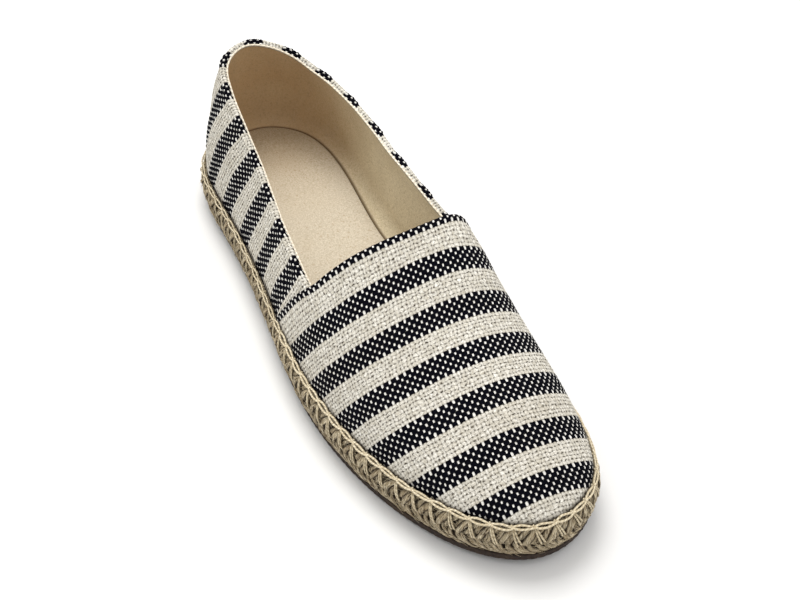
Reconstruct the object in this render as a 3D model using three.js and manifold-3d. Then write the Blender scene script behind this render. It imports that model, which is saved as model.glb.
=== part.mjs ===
// Espadrille, the wearer's right shoe: canvas upper on a plaited-jute rope sole.
// Units mm. +X to the toe, +Y to the inner (big toe) side, +Z up, floor at Z = 0.
import * as THREE from "three";
import Module from "manifold-3d";

// ---- driving sizes -------------------------------------------------------
const LENGTH = 255; // rope sole, heel to toe
const GAP = 0.3; // between pieces that meet
const WALL = 1.8; // folded canvas and lining together
const OUTSOLE = 3.0; // rubber sheet
const OUTSOLE_INSET = 1.5; // its edge stands in from the rope's widest line
const ROPE_SHOULDER = 1.2; // how far the rope wall rounds in at its top and foot
const FEATHER_INSET = 2.3; // rope's widest line to the upper's foot
const INSOLE = 2.0; // sock over the rope
const INSOLE_MARGIN = 6.6; // upper's foot to the sock's edge
const HEEL_HEIGHT = 15.8; // floor to the rope's top at the heel
const FORE_HEIGHT = 17.1; // and under the ball
const TOE_SPRING = 3.9; // lift of the sole's tip
const SPRING_FROM = 185; // station where the sole starts to lift
const ARCH_LIFT = 1.0; // hollow under the waist
const HEEL_POLE = 34; // where the heel's fan of sections meets
const TOE_POLE = 200; // where the toe's fan of sections meets

// Plan outline of the rope sole, a row per station: y of the outer and inner side.
const OUTLINE = [
  { x: 12, outer: -24.1, inner: 23.4 },
  { x: 50, outer: -32.3, inner: 31.8 },
  { x: 100, outer: -36.5, inner: 27.8 },
  { x: 150, outer: -42.4, inner: 35.7 },
  { x: 195, outer: -38.5, inner: 40.6 },
  { x: 228, outer: -27.1, inner: 36.4 },
  { x: 246, outer: -14.7, inner: 26.8 },
];
const HEEL_TIP_Y = 2.7;
const TOE_TIP_Y = 0.8;

// Height of the last's crest above the rope's top.
const CREST = [
  { x: 0, height: 83.9 },
  { x: 30, height: 58.5 },
  { x: 60, height: 57.0 },
  { x: 100, height: 58.0 },
  { x: 140, height: 49.3 },
  { x: 180, height: 31.7 },
  { x: 215, height: 21.1 },
  { x: 240, height: 15.5 },
  { x: 255, height: 12.1 },
];
// How square the arch is on each side: 2 is an ellipse.
const FULLNESS = [
  { x: 30, outer: 2.40, inner: 1.85 },
  { x: 130, outer: 2.23, inner: 2.49 },
  { x: 220, outer: 2.11, inner: 2.14 },
];
// Soft canvas hangs over to the inner side: sideways per mm of rise.
const LEAN = [
  { x: 10, lean: 0.011 },
  { x: 80, lean: 0.187 },
  { x: 140, lean: 0.212 },
  { x: 205, lean: 0.093 },
];
// Where the crest's foot runs in plan.
const RIDGE = [
  { x: 30, y: -0.3 },
  { x: 85, y: 0.9 },
  { x: 140, y: 4.4 },
  { x: 205, y: 3.9 },
];
// Height of the collar above the floor on each side.
const COLLAR = [
  { x: 4, outer: 66.0, inner: 66.0 },
  { x: 30, outer: 57.9, inner: 55.6 },
  { x: 60, outer: 48.6, inner: 53.6 },
  { x: 95, outer: 42.3, inner: 52.9 },
  { x: 130, outer: 40.1, inner: 46.6 },
];
// Throat edge over the instep: x at the middle, slant, and bow at y = 30.
const THROAT = { middle: 144.5, slant: 3.8, bow: -6.3 };

// Rope wall and rubber wall: fraction of the height, inset from the widest line.
const ROPE_WALL = [
  { at: 0, inset: ROPE_SHOULDER + 0.5 },
  { at: 0.1, inset: ROPE_SHOULDER * 0.6 },
  { at: 0.28, inset: 0.2 },
  { at: 0.5, inset: 0 },
  { at: 0.72, inset: 0.3 },
  { at: 0.92, inset: ROPE_SHOULDER },
  { at: 1, inset: ROPE_SHOULDER + 0.8 },
];
const OUTSOLE_WALL = [
  { at: 0, inset: OUTSOLE_INSET + 0.8 },
  { at: 0.25, inset: OUTSOLE_INSET },
  { at: 1, inset: OUTSOLE_INSET },
];
const INSOLE_WALL = [
  { at: 0, inset: 0.4 },
  { at: 0.3, inset: 0 },
  { at: 0.75, inset: 0 },
  { at: 1, inset: 0.5 },
];

const ROUND = 92; // sections round the foot
const RISE = 15; // steps up a section

// ---- curve helpers -------------------------------------------------------
function solve(A, b) {
  const n = b.length;
  for (let i = 0; i < n; i++) {
    let p = i;
    for (let r = i + 1; r < n; r++)
      if (Math.abs(A[r][i]) > Math.abs(A[p][i])) p = r;
    [A[i], A[p]] = [A[p], A[i]];
    [b[i], b[p]] = [b[p], b[i]];
    for (let r = i + 1; r < n; r++) {
      const k = A[r][i] / A[i][i];
      for (let c = i; c < n; c++) A[r][c] -= k * A[i][c];
      b[r] -= k * b[i];
    }
  }
  for (let i = n - 1; i >= 0; i--) {
    for (let c = i + 1; c < n; c++) b[i] -= A[i][c] * b[c];
    b[i] /= A[i][i];
  }
  return b;
}

// Closed cubic spline through the values at the knots (last knot = first).
function closedSpline(t, y) {
  const n = t.length - 1;
  const A = [...Array(n)].map(() => Array(n).fill(0));
  const b = Array(n).fill(0);
  const h = (i) => t[((i + n) % n) + 1] - t[(i + n) % n];
  const v = (i) => y[(i + n) % n];
  for (let i = 0; i < n; i++) {
    A[i][(i + n - 1) % n] += h(i - 1);
    A[i][i] += 2 * (h(i - 1) + h(i));
    A[i][(i + 1) % n] += h(i);
    b[i] = 6 * ((v(i + 1) - v(i)) / h(i) - (v(i) - v(i - 1)) / h(i - 1));
  }
  const m = solve(A, b);
  return (s) => {
    let i = 0;
    while (i < n - 1 && s > t[i + 1]) i++;
    const H = h(i), a = (t[i + 1] - s) / H, c = (s - t[i]) / H;
    const m0 = m[i], m1 = m[(i + 1) % n];
    const value = a * v(i) + c * v(i + 1) + (((a ** 3 - a) * m0 + (c ** 3 - c) * m1) * H * H) / 6;
    const slope = (v(i + 1) - v(i)) / H + (((1 - 3 * a * a) * m0 + (3 * c * c - 1) * m1) * H) / 6;
    return [value, slope];
  };
}

// Curve through table rows that never overshoots between them.
function smooth(rows, xKey, yKey) {
  const x = rows.map((r) => r[xKey]), y = rows.map((r) => r[yKey]), n = x.length;
  const h = [], d = [], m = Array(n).fill(0);
  for (let i = 0; i < n - 1; i++) {
    h.push(x[i + 1] - x[i]);
    d.push((y[i + 1] - y[i]) / h[i]);
  }
  for (let i = 1; i < n - 1; i++)
    if (d[i - 1] * d[i] > 0) {
      const w1 = 2 * h[i] + h[i - 1], w2 = h[i] + 2 * h[i - 1];
      m[i] = (w1 + w2) / (w1 / d[i - 1] + w2 / d[i]);
    }
  m[0] = d[0];
  m[n - 1] = d[n - 2];
  return (s) => {
    if (s <= x[0]) return y[0] + m[0] * (s - x[0]);
    if (s >= x[n - 1]) return y[n - 1] + m[n - 1] * (s - x[n - 1]);
    let i = 0;
    while (s > x[i + 1]) i++;
    const t = (s - x[i]) / h[i], t2 = t * t, t3 = t2 * t;
    return (2 * t3 - 3 * t2 + 1) * y[i] + (t3 - 2 * t2 + t) * h[i] * m[i] + (3 * t2 - 2 * t3) * y[i + 1] + (t3 - t2) * h[i] * m[i + 1];
  };
}
const clamp = (v, a, b) => Math.min(b, Math.max(a, v));

// ---- the last ------------------------------------------------------------
const knots = [
  [0, HEEL_TIP_Y],
  ...OUTLINE.map((r) => [r.x, r.outer]),
  [LENGTH, TOE_TIP_Y],
  ...OUTLINE.map((r) => [r.x, r.inner]).reverse(),
  [0, HEEL_TIP_Y],
];
const chord = [0];
for (let i = 1; i < knots.length; i++)
  chord.push(chord[i - 1] + Math.hypot(knots[i][0] - knots[i - 1][0], knots[i][1] - knots[i - 1][1]));
const outlineX = closedSpline(chord, knots.map((k) => k[0]));
const outlineY = closedSpline(chord, knots.map((k) => k[1]));
const girth = chord[chord.length - 1];

// Point of the rope's widest line, u from 0 (heel) by the outer side, moved in by `inset`.
function rim(u, inset) {
  const s = (((u % 1) + 1) % 1) * girth;
  const [x, dx] = outlineX(s), [y, dy] = outlineY(s);
  const l = Math.hypot(dx, dy);
  return [x - (dy / l) * inset * -1 * SIDE, y + (dx / l) * inset * -1 * SIDE];
}
const SIDE = -1; // the outline runs heel, outer side, toe, inner side: inward is to its left

const crestHeight = smooth(CREST, "x", "height");
const powerOuter = smooth(FULLNESS, "x", "outer");
const powerInner = smooth(FULLNESS, "x", "inner");
const leanAt = smooth(LEAN, "x", "lean");
const ridgeY = smooth(RIDGE, "x", "y");
const collarOuter = smooth(COLLAR, "x", "outer");
const collarInner = smooth(COLLAR, "x", "inner");

const lift = (x) => TOE_SPRING * Math.max(0, (x - SPRING_FROM) / (LENGTH - SPRING_FROM)) ** 2;
const arch = (x) => ARCH_LIFT * Math.sin(Math.PI * clamp((x - 75) / 75, 0, 1)) ** 2;
const ropeTop = (x) => HEEL_HEIGHT + (FORE_HEIGHT - HEEL_HEIGHT) * clamp((x - 40) / 140, 0, 1) + lift(x);

// Foot of the section's centre for a rim point: along the middle, fans at heel and toe.
function poleX(x) {
  const b = 18;
  let d = x - HEEL_POLE;
  let a = HEEL_POLE + (d < -b ? 0 : d > b ? d : (d + b) ** 2 / (4 * b));
  d = TOE_POLE - a;
  return TOE_POLE - (d < -b ? 0 : d > b ? d : (d + b) ** 2 / (4 * b));
}

// The last's outer surface: u round the foot, rise 0 (feather line) to 1 (crest).
function last(u, rise, inset = FEATHER_INSET) {
  const [px, py] = rim(u, inset);
  const cx = poleX(px), cy = ridgeY(cx);
  const rho = Math.cos((rise * Math.PI) / 2);
  const x = cx + (px - cx) * rho;
  const side = 0.5 + 0.5 * Math.tanh((py - cy) / 8);
  const power = powerOuter(x) * (1 - side) + powerInner(x) * side;
  const up = crestHeight(x) * Math.sqrt(Math.max(0, 1 - rho ** power));
  return new THREE.Vector3(x, cy + (py - cy) * rho + leanAt(x) * up, ropeTop(x) + up);
}

// ---- meshes --------------------------------------------------------------
let wasm;
function solid(vertices, triangles) {
  return new wasm.Manifold(
    new wasm.Mesh({
      numProp: 3,
      vertProperties: new Float32Array(vertices.flat()),
      triVerts: new Uint32Array(triangles.flat()),
    }),
  );
}

// Rings of points joined one to the next, with a centre fan (or not) at each end.
function joinRings(rings, firstCentre, lastCentre) {
  const n = rings[0].length, v = [], f = [];
  rings.forEach((r) => r.forEach((p) => v.push(p)));
  for (let k = 0; k < rings.length - 1; k++)
    for (let i = 0; i < n; i++) {
      const a = k * n + i, b = k * n + ((i + 1) % n), c = a + n, d = b + n;
      f.push([a, b, d], [a, d, c]);
    }
  const fan = (ring, centres, flip) => {
    const base = ring * n, at = v.length;
    centres.forEach((c) => v.push(c));
    for (let i = 0; i < n; i++) {
      const j = (i + 1) % n, a = base + i, b = base + j, p = at + i, q = at + j;
      flip ? f.push([b, a, p], [b, p, q]) : f.push([a, b, q], [a, q, p]);
    }
  };
  if (firstCentre) fan(0, firstCentre, true);
  if (lastCentre) fan(rings.length - 1, lastCentre, false);
  return [v, f];
}

// A slab between two heights under the whole foot, its edge following `wall`.
function slab(inset, wall, bottom, top) {
  const rings = [];
  const us = [...Array(ROUND)].map((_, i) => i / ROUND);
  const centre = (u, rho, edge, z) => {
    const [px, py] = rim(u, inset + edge);
    const cx = poleX(px), cy = ridgeY(cx);
    const x = cx + (px - cx) * rho;
    return [x, cy + (py - cy) * rho, z(x)];
  };
  const inner = [0.1, 0.4, 0.7];
  for (const rho of inner) rings.push(us.map((u) => centre(u, rho, wall[0].inset, bottom)));
  for (const w of wall)
    rings.push(us.map((u) => {
      const [x, y] = rim(u, inset + w.inset);
      return [x, y, bottom(x) + (top(x) - bottom(x)) * w.at];
    }));
  for (const rho of [...inner].reverse()) rings.push(us.map((u) => centre(u, rho, wall[wall.length - 1].inset, top)));
  const [v, f] = joinRings(rings);
  closeStrip(v, f, 0, us.length, true);
  closeStrip(v, f, (rings.length - 1) * us.length, us.length, false);
  return solid(v, f);
}

// Close a long thin ring by a strip across it, from its heel end to its toe end.
function closeStrip(v, f, base, n, under) {
  let a = 1, b = n - 1;
  const add = (p, q, r) => f.push(under ? [base + p, base + r, base + q] : [base + p, base + q, base + r]);
  add(0, a, b);
  while (a + 1 < b) {
    if (v[base + a][0] < v[base + b][0]) {
      add(a, a + 1, b);
      a++;
    } else {
      add(a, b - 1, b);
      b--;
    }
  }
}

// Closed body under the last's surface, `depth` inside it, reaching down to `foot`.
function lastBody(depth, foot) {
  const rings = [];
  const us = [...Array(ROUND)].map((_, i) => i / ROUND);
  const rises = [...Array(RISE)].map((_, k) => (k / RISE) ** 1.05 * 0.955);
  const inward = (u, r) => {
    const e = 2e-3;
    const du = last(u + e, r).sub(last(u - e, r));
    const r0 = Math.max(0, r - 0.01), r1 = Math.min(1, r + 0.01);
    const dr = last(u, r1).sub(last(u, r0));
    return dr.cross(du).normalize();
  };
  const at = (u, r) => {
    const p = last(u, r);
    if (depth) p.addScaledVector(inward(u, r), depth * INWARD);
    return p;
  };
  rings.push(us.map((u) => {
    const p = at(u, 0);
    return [p.x, p.y, foot(p.x)];
  }));
  rises.forEach((r, k) => rings.push(us.map((u) => {
    const p = at(u, r);
    return [p.x, p.y, k ? p.z : foot(p.x) + GAP * 2];
  })));
  const [v, f] = joinRings(rings);
  closeStrip(v, f, 0, us.length, true);
  closeStrip(v, f, (rings.length - 1) * us.length, us.length, false);
  return solid(v, f);
}
const INWARD = 1;

// What is cut away to open the foot hole: all above the collar line, behind the throat edge.
function opening() {
  const rows = 60, cols = 24, half = 70, v = [], f = [];
  const throatX = (y) => THROAT.middle + (THROAT.slant * y) / 30 + THROAT.bow * (Math.min(Math.abs(y), 45) / 30) ** 2;
  for (let layer = 0; layer < 2; layer++)
    for (let i = 0; i <= rows; i++)
      for (let j = 0; j <= cols; j++) {
        const y = -half + (2 * half * j) / cols;
        const x = -20 + (throatX(y) + 20) * (i / rows);
        const side = 0.5 + 0.5 * Math.tanh((y - HEEL_TIP_Y) / 8);
        const z = collarOuter(x) * (1 - side) + collarInner(x) * side;
        v.push([x, y, layer ? 150 : z]);
      }
  const id = (l, i, j) => l * (rows + 1) * (cols + 1) + i * (cols + 1) + j;
  for (let i = 0; i < rows; i++)
    for (let j = 0; j < cols; j++) {
      f.push([id(0, i, j), id(0, i, j + 1), id(0, i + 1, j + 1)], [id(0, i, j), id(0, i + 1, j + 1), id(0, i + 1, j)]);
      f.push([id(1, i, j), id(1, i + 1, j + 1), id(1, i, j + 1)], [id(1, i, j), id(1, i + 1, j), id(1, i + 1, j + 1)]);
    }
  for (let i = 0; i < rows; i++) {
    f.push([id(0, i, 0), id(0, i + 1, 0), id(1, i + 1, 0)], [id(0, i, 0), id(1, i + 1, 0), id(1, i, 0)]);
    f.push([id(0, i, cols), id(1, i + 1, cols), id(0, i + 1, cols)], [id(0, i, cols), id(1, i, cols), id(1, i + 1, cols)]);
  }
  for (let j = 0; j < cols; j++) {
    f.push([id(0, 0, j), id(1, 0, j + 1), id(0, 0, j + 1)], [id(0, 0, j), id(1, 0, j), id(1, 0, j + 1)]);
    f.push([id(0, rows, j), id(0, rows, j + 1), id(1, rows, j + 1)], [id(0, rows, j), id(1, rows, j + 1), id(1, rows, j)]);
  }
  return solid(v, f);
}

function toThree(name, body, colour, roughness) {
  const m = body.getMesh();
  const geometry = new THREE.BufferGeometry();
  geometry.setAttribute("position", new THREE.BufferAttribute(new Float32Array(m.vertProperties), 3));
  geometry.setIndex(new THREE.BufferAttribute(new Uint32Array(m.triVerts), 1));
  geometry.computeVertexNormals();
  const mesh = new THREE.Mesh(geometry, new THREE.MeshStandardMaterial({ color: colour, roughness }));
  mesh.name = name;
  return mesh;
}

async function build() {
  wasm = await Module();
  wasm.setup();
  const outsole = slab(0, OUTSOLE_WALL, (x) => lift(x) + arch(x), (x) => lift(x) + arch(x) + OUTSOLE);
  const midsole = slab(0, ROPE_WALL, (x) => lift(x) + arch(x) + OUTSOLE + GAP, ropeTop);
  const insole = slab(FEATHER_INSET + INSOLE_MARGIN, INSOLE_WALL, (x) => ropeTop(x) + GAP, (x) => ropeTop(x) + GAP + INSOLE);
  const outer = lastBody(0, (x) => ropeTop(x) + GAP);
  const inner = lastBody(WALL, (x) => ropeTop(x) - 3);
  const upper = outer.subtract(inner).subtract(opening());

  const shoe = new THREE.Group();
  shoe.name = "espadrille_body";
  shoe.add(
    toThree("outsole", outsole, 0x3c2f28, 0.7),
    toThree("midsole", midsole, 0xb49c72, 0.9),
    toThree("upper", upper, 0xe6e0d2, 0.9),
    toThree("insole", insole, 0xd8c4a8, 0.9),
  );
  const box = new THREE.Box3().setFromObject(shoe);
  shoe.position.set(-(box.min.x + box.max.x) / 2, -(box.min.y + box.max.y) / 2, -box.min.z);
  const root = new THREE.Group();
  root.name = "espadrille";
  root.add(shoe);
  return root;
}

export default await build();
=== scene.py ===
import math

import bpy
import numpy as np
from mathutils import Matrix, Vector


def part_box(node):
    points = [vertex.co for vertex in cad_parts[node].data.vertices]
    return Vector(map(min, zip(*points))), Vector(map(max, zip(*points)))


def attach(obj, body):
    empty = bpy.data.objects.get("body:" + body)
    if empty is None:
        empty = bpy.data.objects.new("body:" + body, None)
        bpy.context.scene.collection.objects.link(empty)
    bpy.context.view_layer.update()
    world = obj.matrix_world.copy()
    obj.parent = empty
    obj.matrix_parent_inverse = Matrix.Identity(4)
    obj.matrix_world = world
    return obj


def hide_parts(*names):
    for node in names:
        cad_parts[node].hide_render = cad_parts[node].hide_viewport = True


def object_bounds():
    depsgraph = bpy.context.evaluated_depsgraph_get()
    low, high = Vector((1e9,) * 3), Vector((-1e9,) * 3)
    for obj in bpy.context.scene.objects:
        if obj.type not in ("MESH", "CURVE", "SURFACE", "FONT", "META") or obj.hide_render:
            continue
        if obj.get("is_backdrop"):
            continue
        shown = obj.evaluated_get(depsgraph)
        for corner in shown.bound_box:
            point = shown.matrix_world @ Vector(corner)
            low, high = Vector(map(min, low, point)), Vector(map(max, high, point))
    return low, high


# Espadrille, the wearer's right shoe. Sizes below are mm from the heel tip, as in the part's source;
# SHIFT carries them to the frame, and meshes are written in metres.
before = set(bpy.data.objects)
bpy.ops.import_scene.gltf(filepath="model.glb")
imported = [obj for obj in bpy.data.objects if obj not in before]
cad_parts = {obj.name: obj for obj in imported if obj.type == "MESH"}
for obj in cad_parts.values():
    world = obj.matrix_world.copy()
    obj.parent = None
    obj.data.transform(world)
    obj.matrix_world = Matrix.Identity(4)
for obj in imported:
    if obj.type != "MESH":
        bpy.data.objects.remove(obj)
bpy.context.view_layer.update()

# ------------------------------------------------------------------ the last, as in the part's source
LENGTH, GAP, WALL, OUTSOLE = 255.0, 0.3, 1.8, 3.0
FEATHER_INSET, INSOLE, INSOLE_MARGIN = 2.3, 2.0, 6.6
HEEL_HEIGHT, FORE_HEIGHT = 15.8, 17.1
TOE_SPRING, SPRING_FROM, ARCH_LIFT = 3.9, 185.0, 1.0
HEEL_POLE, TOE_POLE = 34.0, 200.0
OUTLINE = np.array([[12, -24.1, 23.4], [50, -32.3, 31.8], [100, -36.5, 27.8], [150, -42.4, 35.7],
                    [195, -38.5, 40.6], [228, -27.1, 36.4], [246, -14.7, 26.8]])  # x, outer, inner
HEEL_TIP_Y, TOE_TIP_Y = 2.7, 0.8
CREST = np.array([[0, 83.9], [30, 58.5], [60, 57.0], [100, 58.0], [140, 49.3], [180, 31.7],
                  [215, 21.1], [240, 15.5], [255, 12.1]])  # x, height
FULLNESS = np.array([[30, 2.40, 1.85], [130, 2.23, 2.49], [220, 2.11, 2.14]])  # x, outer, inner
LEAN = np.array([[10, 0.011], [80, 0.187], [140, 0.212], [205, 0.093]])  # x, lean
RIDGE = np.array([[30, -0.3], [85, 0.9], [140, 4.4], [205, 3.9]])  # x, y
COLLAR = np.array([[4, 66.0, 66.0], [30, 57.9, 55.6], [60, 48.6, 53.6], [95, 42.3, 52.9], [130, 40.1, 46.6]])  # x, outer, inner
THROAT = dict(middle=144.5, slant=3.8, bow=-6.3)
ROPE_WALL = np.array([[0, 1.7], [0.1, 0.72], [0.28, 0.2], [0.5, 0.0], [0.72, 0.3], [0.92, 1.2], [1, 2.0]])  # at, inset


def closed_spline(t, y):
    n = len(t) - 1
    h = np.diff(t)
    A, b = np.zeros((n, n)), np.zeros(n)
    for i in range(n):
        p = (i - 1) % n
        A[i, p] += h[p]
        A[i, i] += 2 * (h[p] + h[i])
        A[i, (i + 1) % n] += h[i]
        b[i] = 6 * ((y[(i + 1) % n] - y[i]) / h[i] - (y[i] - y[p]) / h[p])
    m = np.linalg.solve(A, b)

    def f(s):
        i = np.clip(np.searchsorted(t, s, side="right") - 1, 0, n - 1)
        H = h[i]
        a, c = (t[i + 1] - s) / H, (s - t[i]) / H
        j = (i + 1) % n
        v = a * y[i] + c * y[j] + ((a**3 - a) * m[i] + (c**3 - c) * m[j]) * H * H / 6
        d = (y[j] - y[i]) / H + ((1 - 3 * a * a) * m[i] + (3 * c * c - 1) * m[j]) * H / 6
        return v, d
    return f


def smooth(x, y):
    x, y = np.asarray(x, float), np.asarray(y, float)
    h, d = np.diff(x), np.diff(y) / np.diff(x)
    m = np.zeros(len(x))
    for i in range(1, len(x) - 1):
        if d[i - 1] * d[i] > 0:
            w1, w2 = 2 * h[i] + h[i - 1], h[i] + 2 * h[i - 1]
            m[i] = (w1 + w2) / (w1 / d[i - 1] + w2 / d[i])
    m[0], m[-1] = d[0], d[-1]

    def f(s):
        s = np.asarray(s, float)
        i = np.clip(np.searchsorted(x, s, side="right") - 1, 0, len(h) - 1)
        t = (s - x[i]) / h[i]
        v = ((2 * t**3 - 3 * t**2 + 1) * y[i] + (t**3 - 2 * t**2 + t) * h[i] * m[i]
             + (3 * t**2 - 2 * t**3) * y[i + 1] + (t**3 - t**2) * h[i] * m[i + 1])
        v = np.where(s <= x[0], y[0] + m[0] * (s - x[0]), v)
        return np.where(s >= x[-1], y[-1] + m[-1] * (s - x[-1]), v)
    return f


KNOTS = np.vstack([[0, HEEL_TIP_Y], OUTLINE[:, [0, 1]], [LENGTH, TOE_TIP_Y], OUTLINE[::-1][:, [0, 2]], [0, HEEL_TIP_Y]])
CHORD = np.concatenate([[0], np.cumsum(np.linalg.norm(np.diff(KNOTS, axis=0), axis=1))])
outline_x, outline_y = closed_spline(CHORD, KNOTS[:, 0]), closed_spline(CHORD, KNOTS[:, 1])
GIRTH = CHORD[-1]


def rim(u, inset):
    s = np.mod(u, 1.0) * GIRTH
    (x, dx), (y, dy) = outline_x(s), outline_y(s)
    l = np.hypot(dx, dy)
    return x - dy / l * inset, y + dx / l * inset


crest_height = smooth(CREST[:, 0], CREST[:, 1])
power_outer, power_inner = smooth(FULLNESS[:, 0], FULLNESS[:, 1]), smooth(FULLNESS[:, 0], FULLNESS[:, 2])
lean_at, ridge_y = smooth(LEAN[:, 0], LEAN[:, 1]), smooth(RIDGE[:, 0], RIDGE[:, 1])
collar_outer, collar_inner = smooth(COLLAR[:, 0], COLLAR[:, 1]), smooth(COLLAR[:, 0], COLLAR[:, 2])


def lift(x):
    return TOE_SPRING * np.maximum(0, (x - SPRING_FROM) / (LENGTH - SPRING_FROM)) ** 2


def arch(x):
    return ARCH_LIFT * np.sin(np.pi * np.clip((x - 75) / 75, 0, 1)) ** 2


def rope_top(x):
    return HEEL_HEIGHT + (FORE_HEIGHT - HEEL_HEIGHT) * np.clip((x - 40) / 140, 0, 1) + lift(x)


def rope_foot(x):
    return lift(x) + arch(x) + OUTSOLE + GAP


def pole_x(x):
    b = 18.0
    d = x - HEEL_POLE
    a = HEEL_POLE + np.where(d < -b, 0, np.where(d > b, d, (d + b) ** 2 / (4 * b)))
    d = TOE_POLE - a
    return TOE_POLE - np.where(d < -b, 0, np.where(d > b, d, (d + b) ** 2 / (4 * b)))


def last(u, rise, inset=FEATHER_INSET):
    px, py = rim(u, inset)
    cx = pole_x(px)
    cy = ridge_y(cx)
    rho = np.cos(rise * np.pi / 2)
    x = cx + (px - cx) * rho
    side = 0.5 + 0.5 * np.tanh((py - cy) / 8)
    power = power_outer(x) * (1 - side) + power_inner(x) * side
    up = crest_height(x) * np.sqrt(np.maximum(0, 1 - rho**power))
    return np.stack([x, cy + (py - cy) * rho + lean_at(x) * up, rope_top(x) + up], -1)


def collar_z(x, y):
    side = 0.5 + 0.5 * np.tanh((y - HEEL_TIP_Y) / 8)
    return collar_outer(x) * (1 - side) + collar_inner(x) * side


def throat_x(y):
    return THROAT["middle"] + THROAT["slant"] * y / 30 + THROAT["bow"] * (np.minimum(np.abs(y), 45) / 30) ** 2


# where the part's group stands in the frame
ux, uy = rim(np.arange(92) / 92, 0.0)
mid_lo, mid_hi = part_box("midsole")
SHIFT = np.array([mid_lo[0] * 1000 - ux.min(), mid_lo[1] * 1000 - uy.min(), 0.0])


# ------------------------------------------------------------------ mesh helpers
def unit(v):
    return v / np.maximum(np.linalg.norm(v, axis=-1, keepdims=True), 1e-12)


def make(name, V, F, material, uvs=None, weld=False, smooth_faces=True):
    """A mesh object from points in mm and faces as index rows; repeated points in a face are dropped when welded."""
    V = np.asarray(V, float).reshape(-1, 3)
    loops = [list(f) for f in np.asarray(F).tolist()] if not isinstance(F, list) else F
    source = None
    if weld:
        key = np.round(V, 4)
        _, first, back = np.unique(key, axis=0, return_index=True, return_inverse=True)
        back = back.ravel()
        out, src = [], []
        for f in loops:
            g, s = [], []
            for k in f:
                b = int(back[k])
                if b not in g:
                    g.append(b)
                    s.append(k)
            if len(g) > 2:
                out.append(g)
                src.append(s)
        used = np.unique(np.concatenate([np.array(g) for g in out]))
        remap = np.full(len(first), -1)
        remap[used] = np.arange(len(used))
        V = V[first][used]
        loops = [[int(remap[k]) for k in g] for g in out]
        source = src
    me = bpy.data.meshes.new(name)
    me.from_pydata(((V + SHIFT) / 1000).tolist(), [], loops)
    if uvs:
        order = np.concatenate([np.array(f) for f in (source or loops)])
        for label, uv in uvs.items():
            layer = me.uv_layers.new(name=label)
            layer.data.foreach_set("uv", np.asarray(uv, np.float32).reshape(-1, 2)[order].ravel())
    me.polygons.foreach_set("use_smooth", np.full(len(me.polygons), smooth_faces))
    me.materials.append(material)
    me.validate()
    me.update()
    o = bpy.data.objects.new(name, me)
    bpy.context.scene.collection.objects.link(o)
    return o


def grid_faces(rows, cols, wrap=False, flip=False):
    i, j = np.meshgrid(np.arange(rows - 1), np.arange(cols if wrap else cols - 1), indexing="ij")
    a = i * cols + j
    b = i * cols + (j + 1) % cols
    f = np.stack([a, b, b + cols, a + cols], -1).reshape(-1, 4)
    return f[:, ::-1] if flip else f


def grid_uv(rows, cols, pad=0.002):
    i, j = np.meshgrid(np.linspace(pad, 1 - pad, rows), np.linspace(pad, 1 - pad, cols), indexing="ij")
    return np.stack([j, i], -1)


def tubes(paths, wide, thick, normals, around=8, ridges=None):
    """Tubes along many paths of one point count: elliptical sections, `wide` across and `thick` along the given normal."""
    P = np.asarray(paths, float)
    n, m, _ = P.shape
    T = unit(np.gradient(P, axis=1))
    N = unit(normals - (normals * T).sum(-1, keepdims=True) * T)
    S = unit(np.cross(T, N))
    phi = np.arange(around) / around * 2 * np.pi
    w = np.broadcast_to(wide, (n, m))[..., None] * np.cos(phi)
    t = np.broadcast_to(thick, (n, m))[..., None] * np.sin(phi)
    if ridges is not None:
        k = 1 + ridges
        w, t = w * k, t * k
    V = P[:, :, None] + S[:, :, None] * w[..., None] + N[:, :, None] * t[..., None]
    base = (np.arange(n) * (m * around + 2))[:, None]
    g = grid_faces(m, around, wrap=True)
    F = (g[None] + base[:, :, None]).reshape(-1, 4).tolist()
    ends = np.stack([P[:, 0], P[:, -1]], 1)
    V = np.concatenate([V.reshape(n, m * around, 3), ends], 1).reshape(-1, 3)
    k = np.arange(around)
    k2 = (k + 1) % around
    a = np.stack([np.full(around, m * around), k2, k], -1)
    last_ring = (m - 1) * around
    b = np.stack([np.full(around, m * around + 1), last_ring + k, last_ring + k2], -1)
    F += (np.concatenate([a, b])[None] + base[:, :, None]).reshape(-1, 3).tolist()
    length = np.concatenate([np.zeros((n, 1)), np.cumsum(np.linalg.norm(np.diff(P, axis=1), axis=-1), axis=1)], 1)
    # strand map: U is a number per tube plus the way round it, V is mm along it
    U = (np.arange(n)[:, None, None] + (np.abs(phi - np.pi) / np.pi)[None, None] * 0.9) + np.zeros((n, m, 1))
    Vv = np.broadcast_to(length[..., None], (n, m, around))
    uv = np.stack([U, Vv], -1).reshape(n, m * around, 2)
    tip = np.stack([np.stack([np.arange(n) + 0.45, np.zeros(n)], -1), np.stack([np.arange(n) + 0.45, length[:, -1]], -1)], 1)
    uv = np.concatenate([uv, tip], 1).reshape(-1, 2)
    # a place of its own for each tube in a square sheet
    side = int(math.ceil(math.sqrt(n)))
    cell = np.stack([np.arange(n) % side, np.arange(n) // side], -1) / side
    lu = (np.abs(phi - np.pi) / np.pi)[None, None] * np.ones((n, m, 1))
    lv = (np.arange(m) / (m - 1))[None, :, None] * np.ones((n, 1, around))
    sheet = cell[:, None] + (0.04 + 0.92 * np.stack([lu, lv], -1).reshape(n, m * around, 2)) / side
    tip = np.stack([cell + np.array([0.5, 0.03]) / side, cell + np.array([0.5, 0.97]) / side], 1)
    return V, F, uv, np.concatenate([sheet, tip], 1).reshape(-1, 2)


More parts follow.
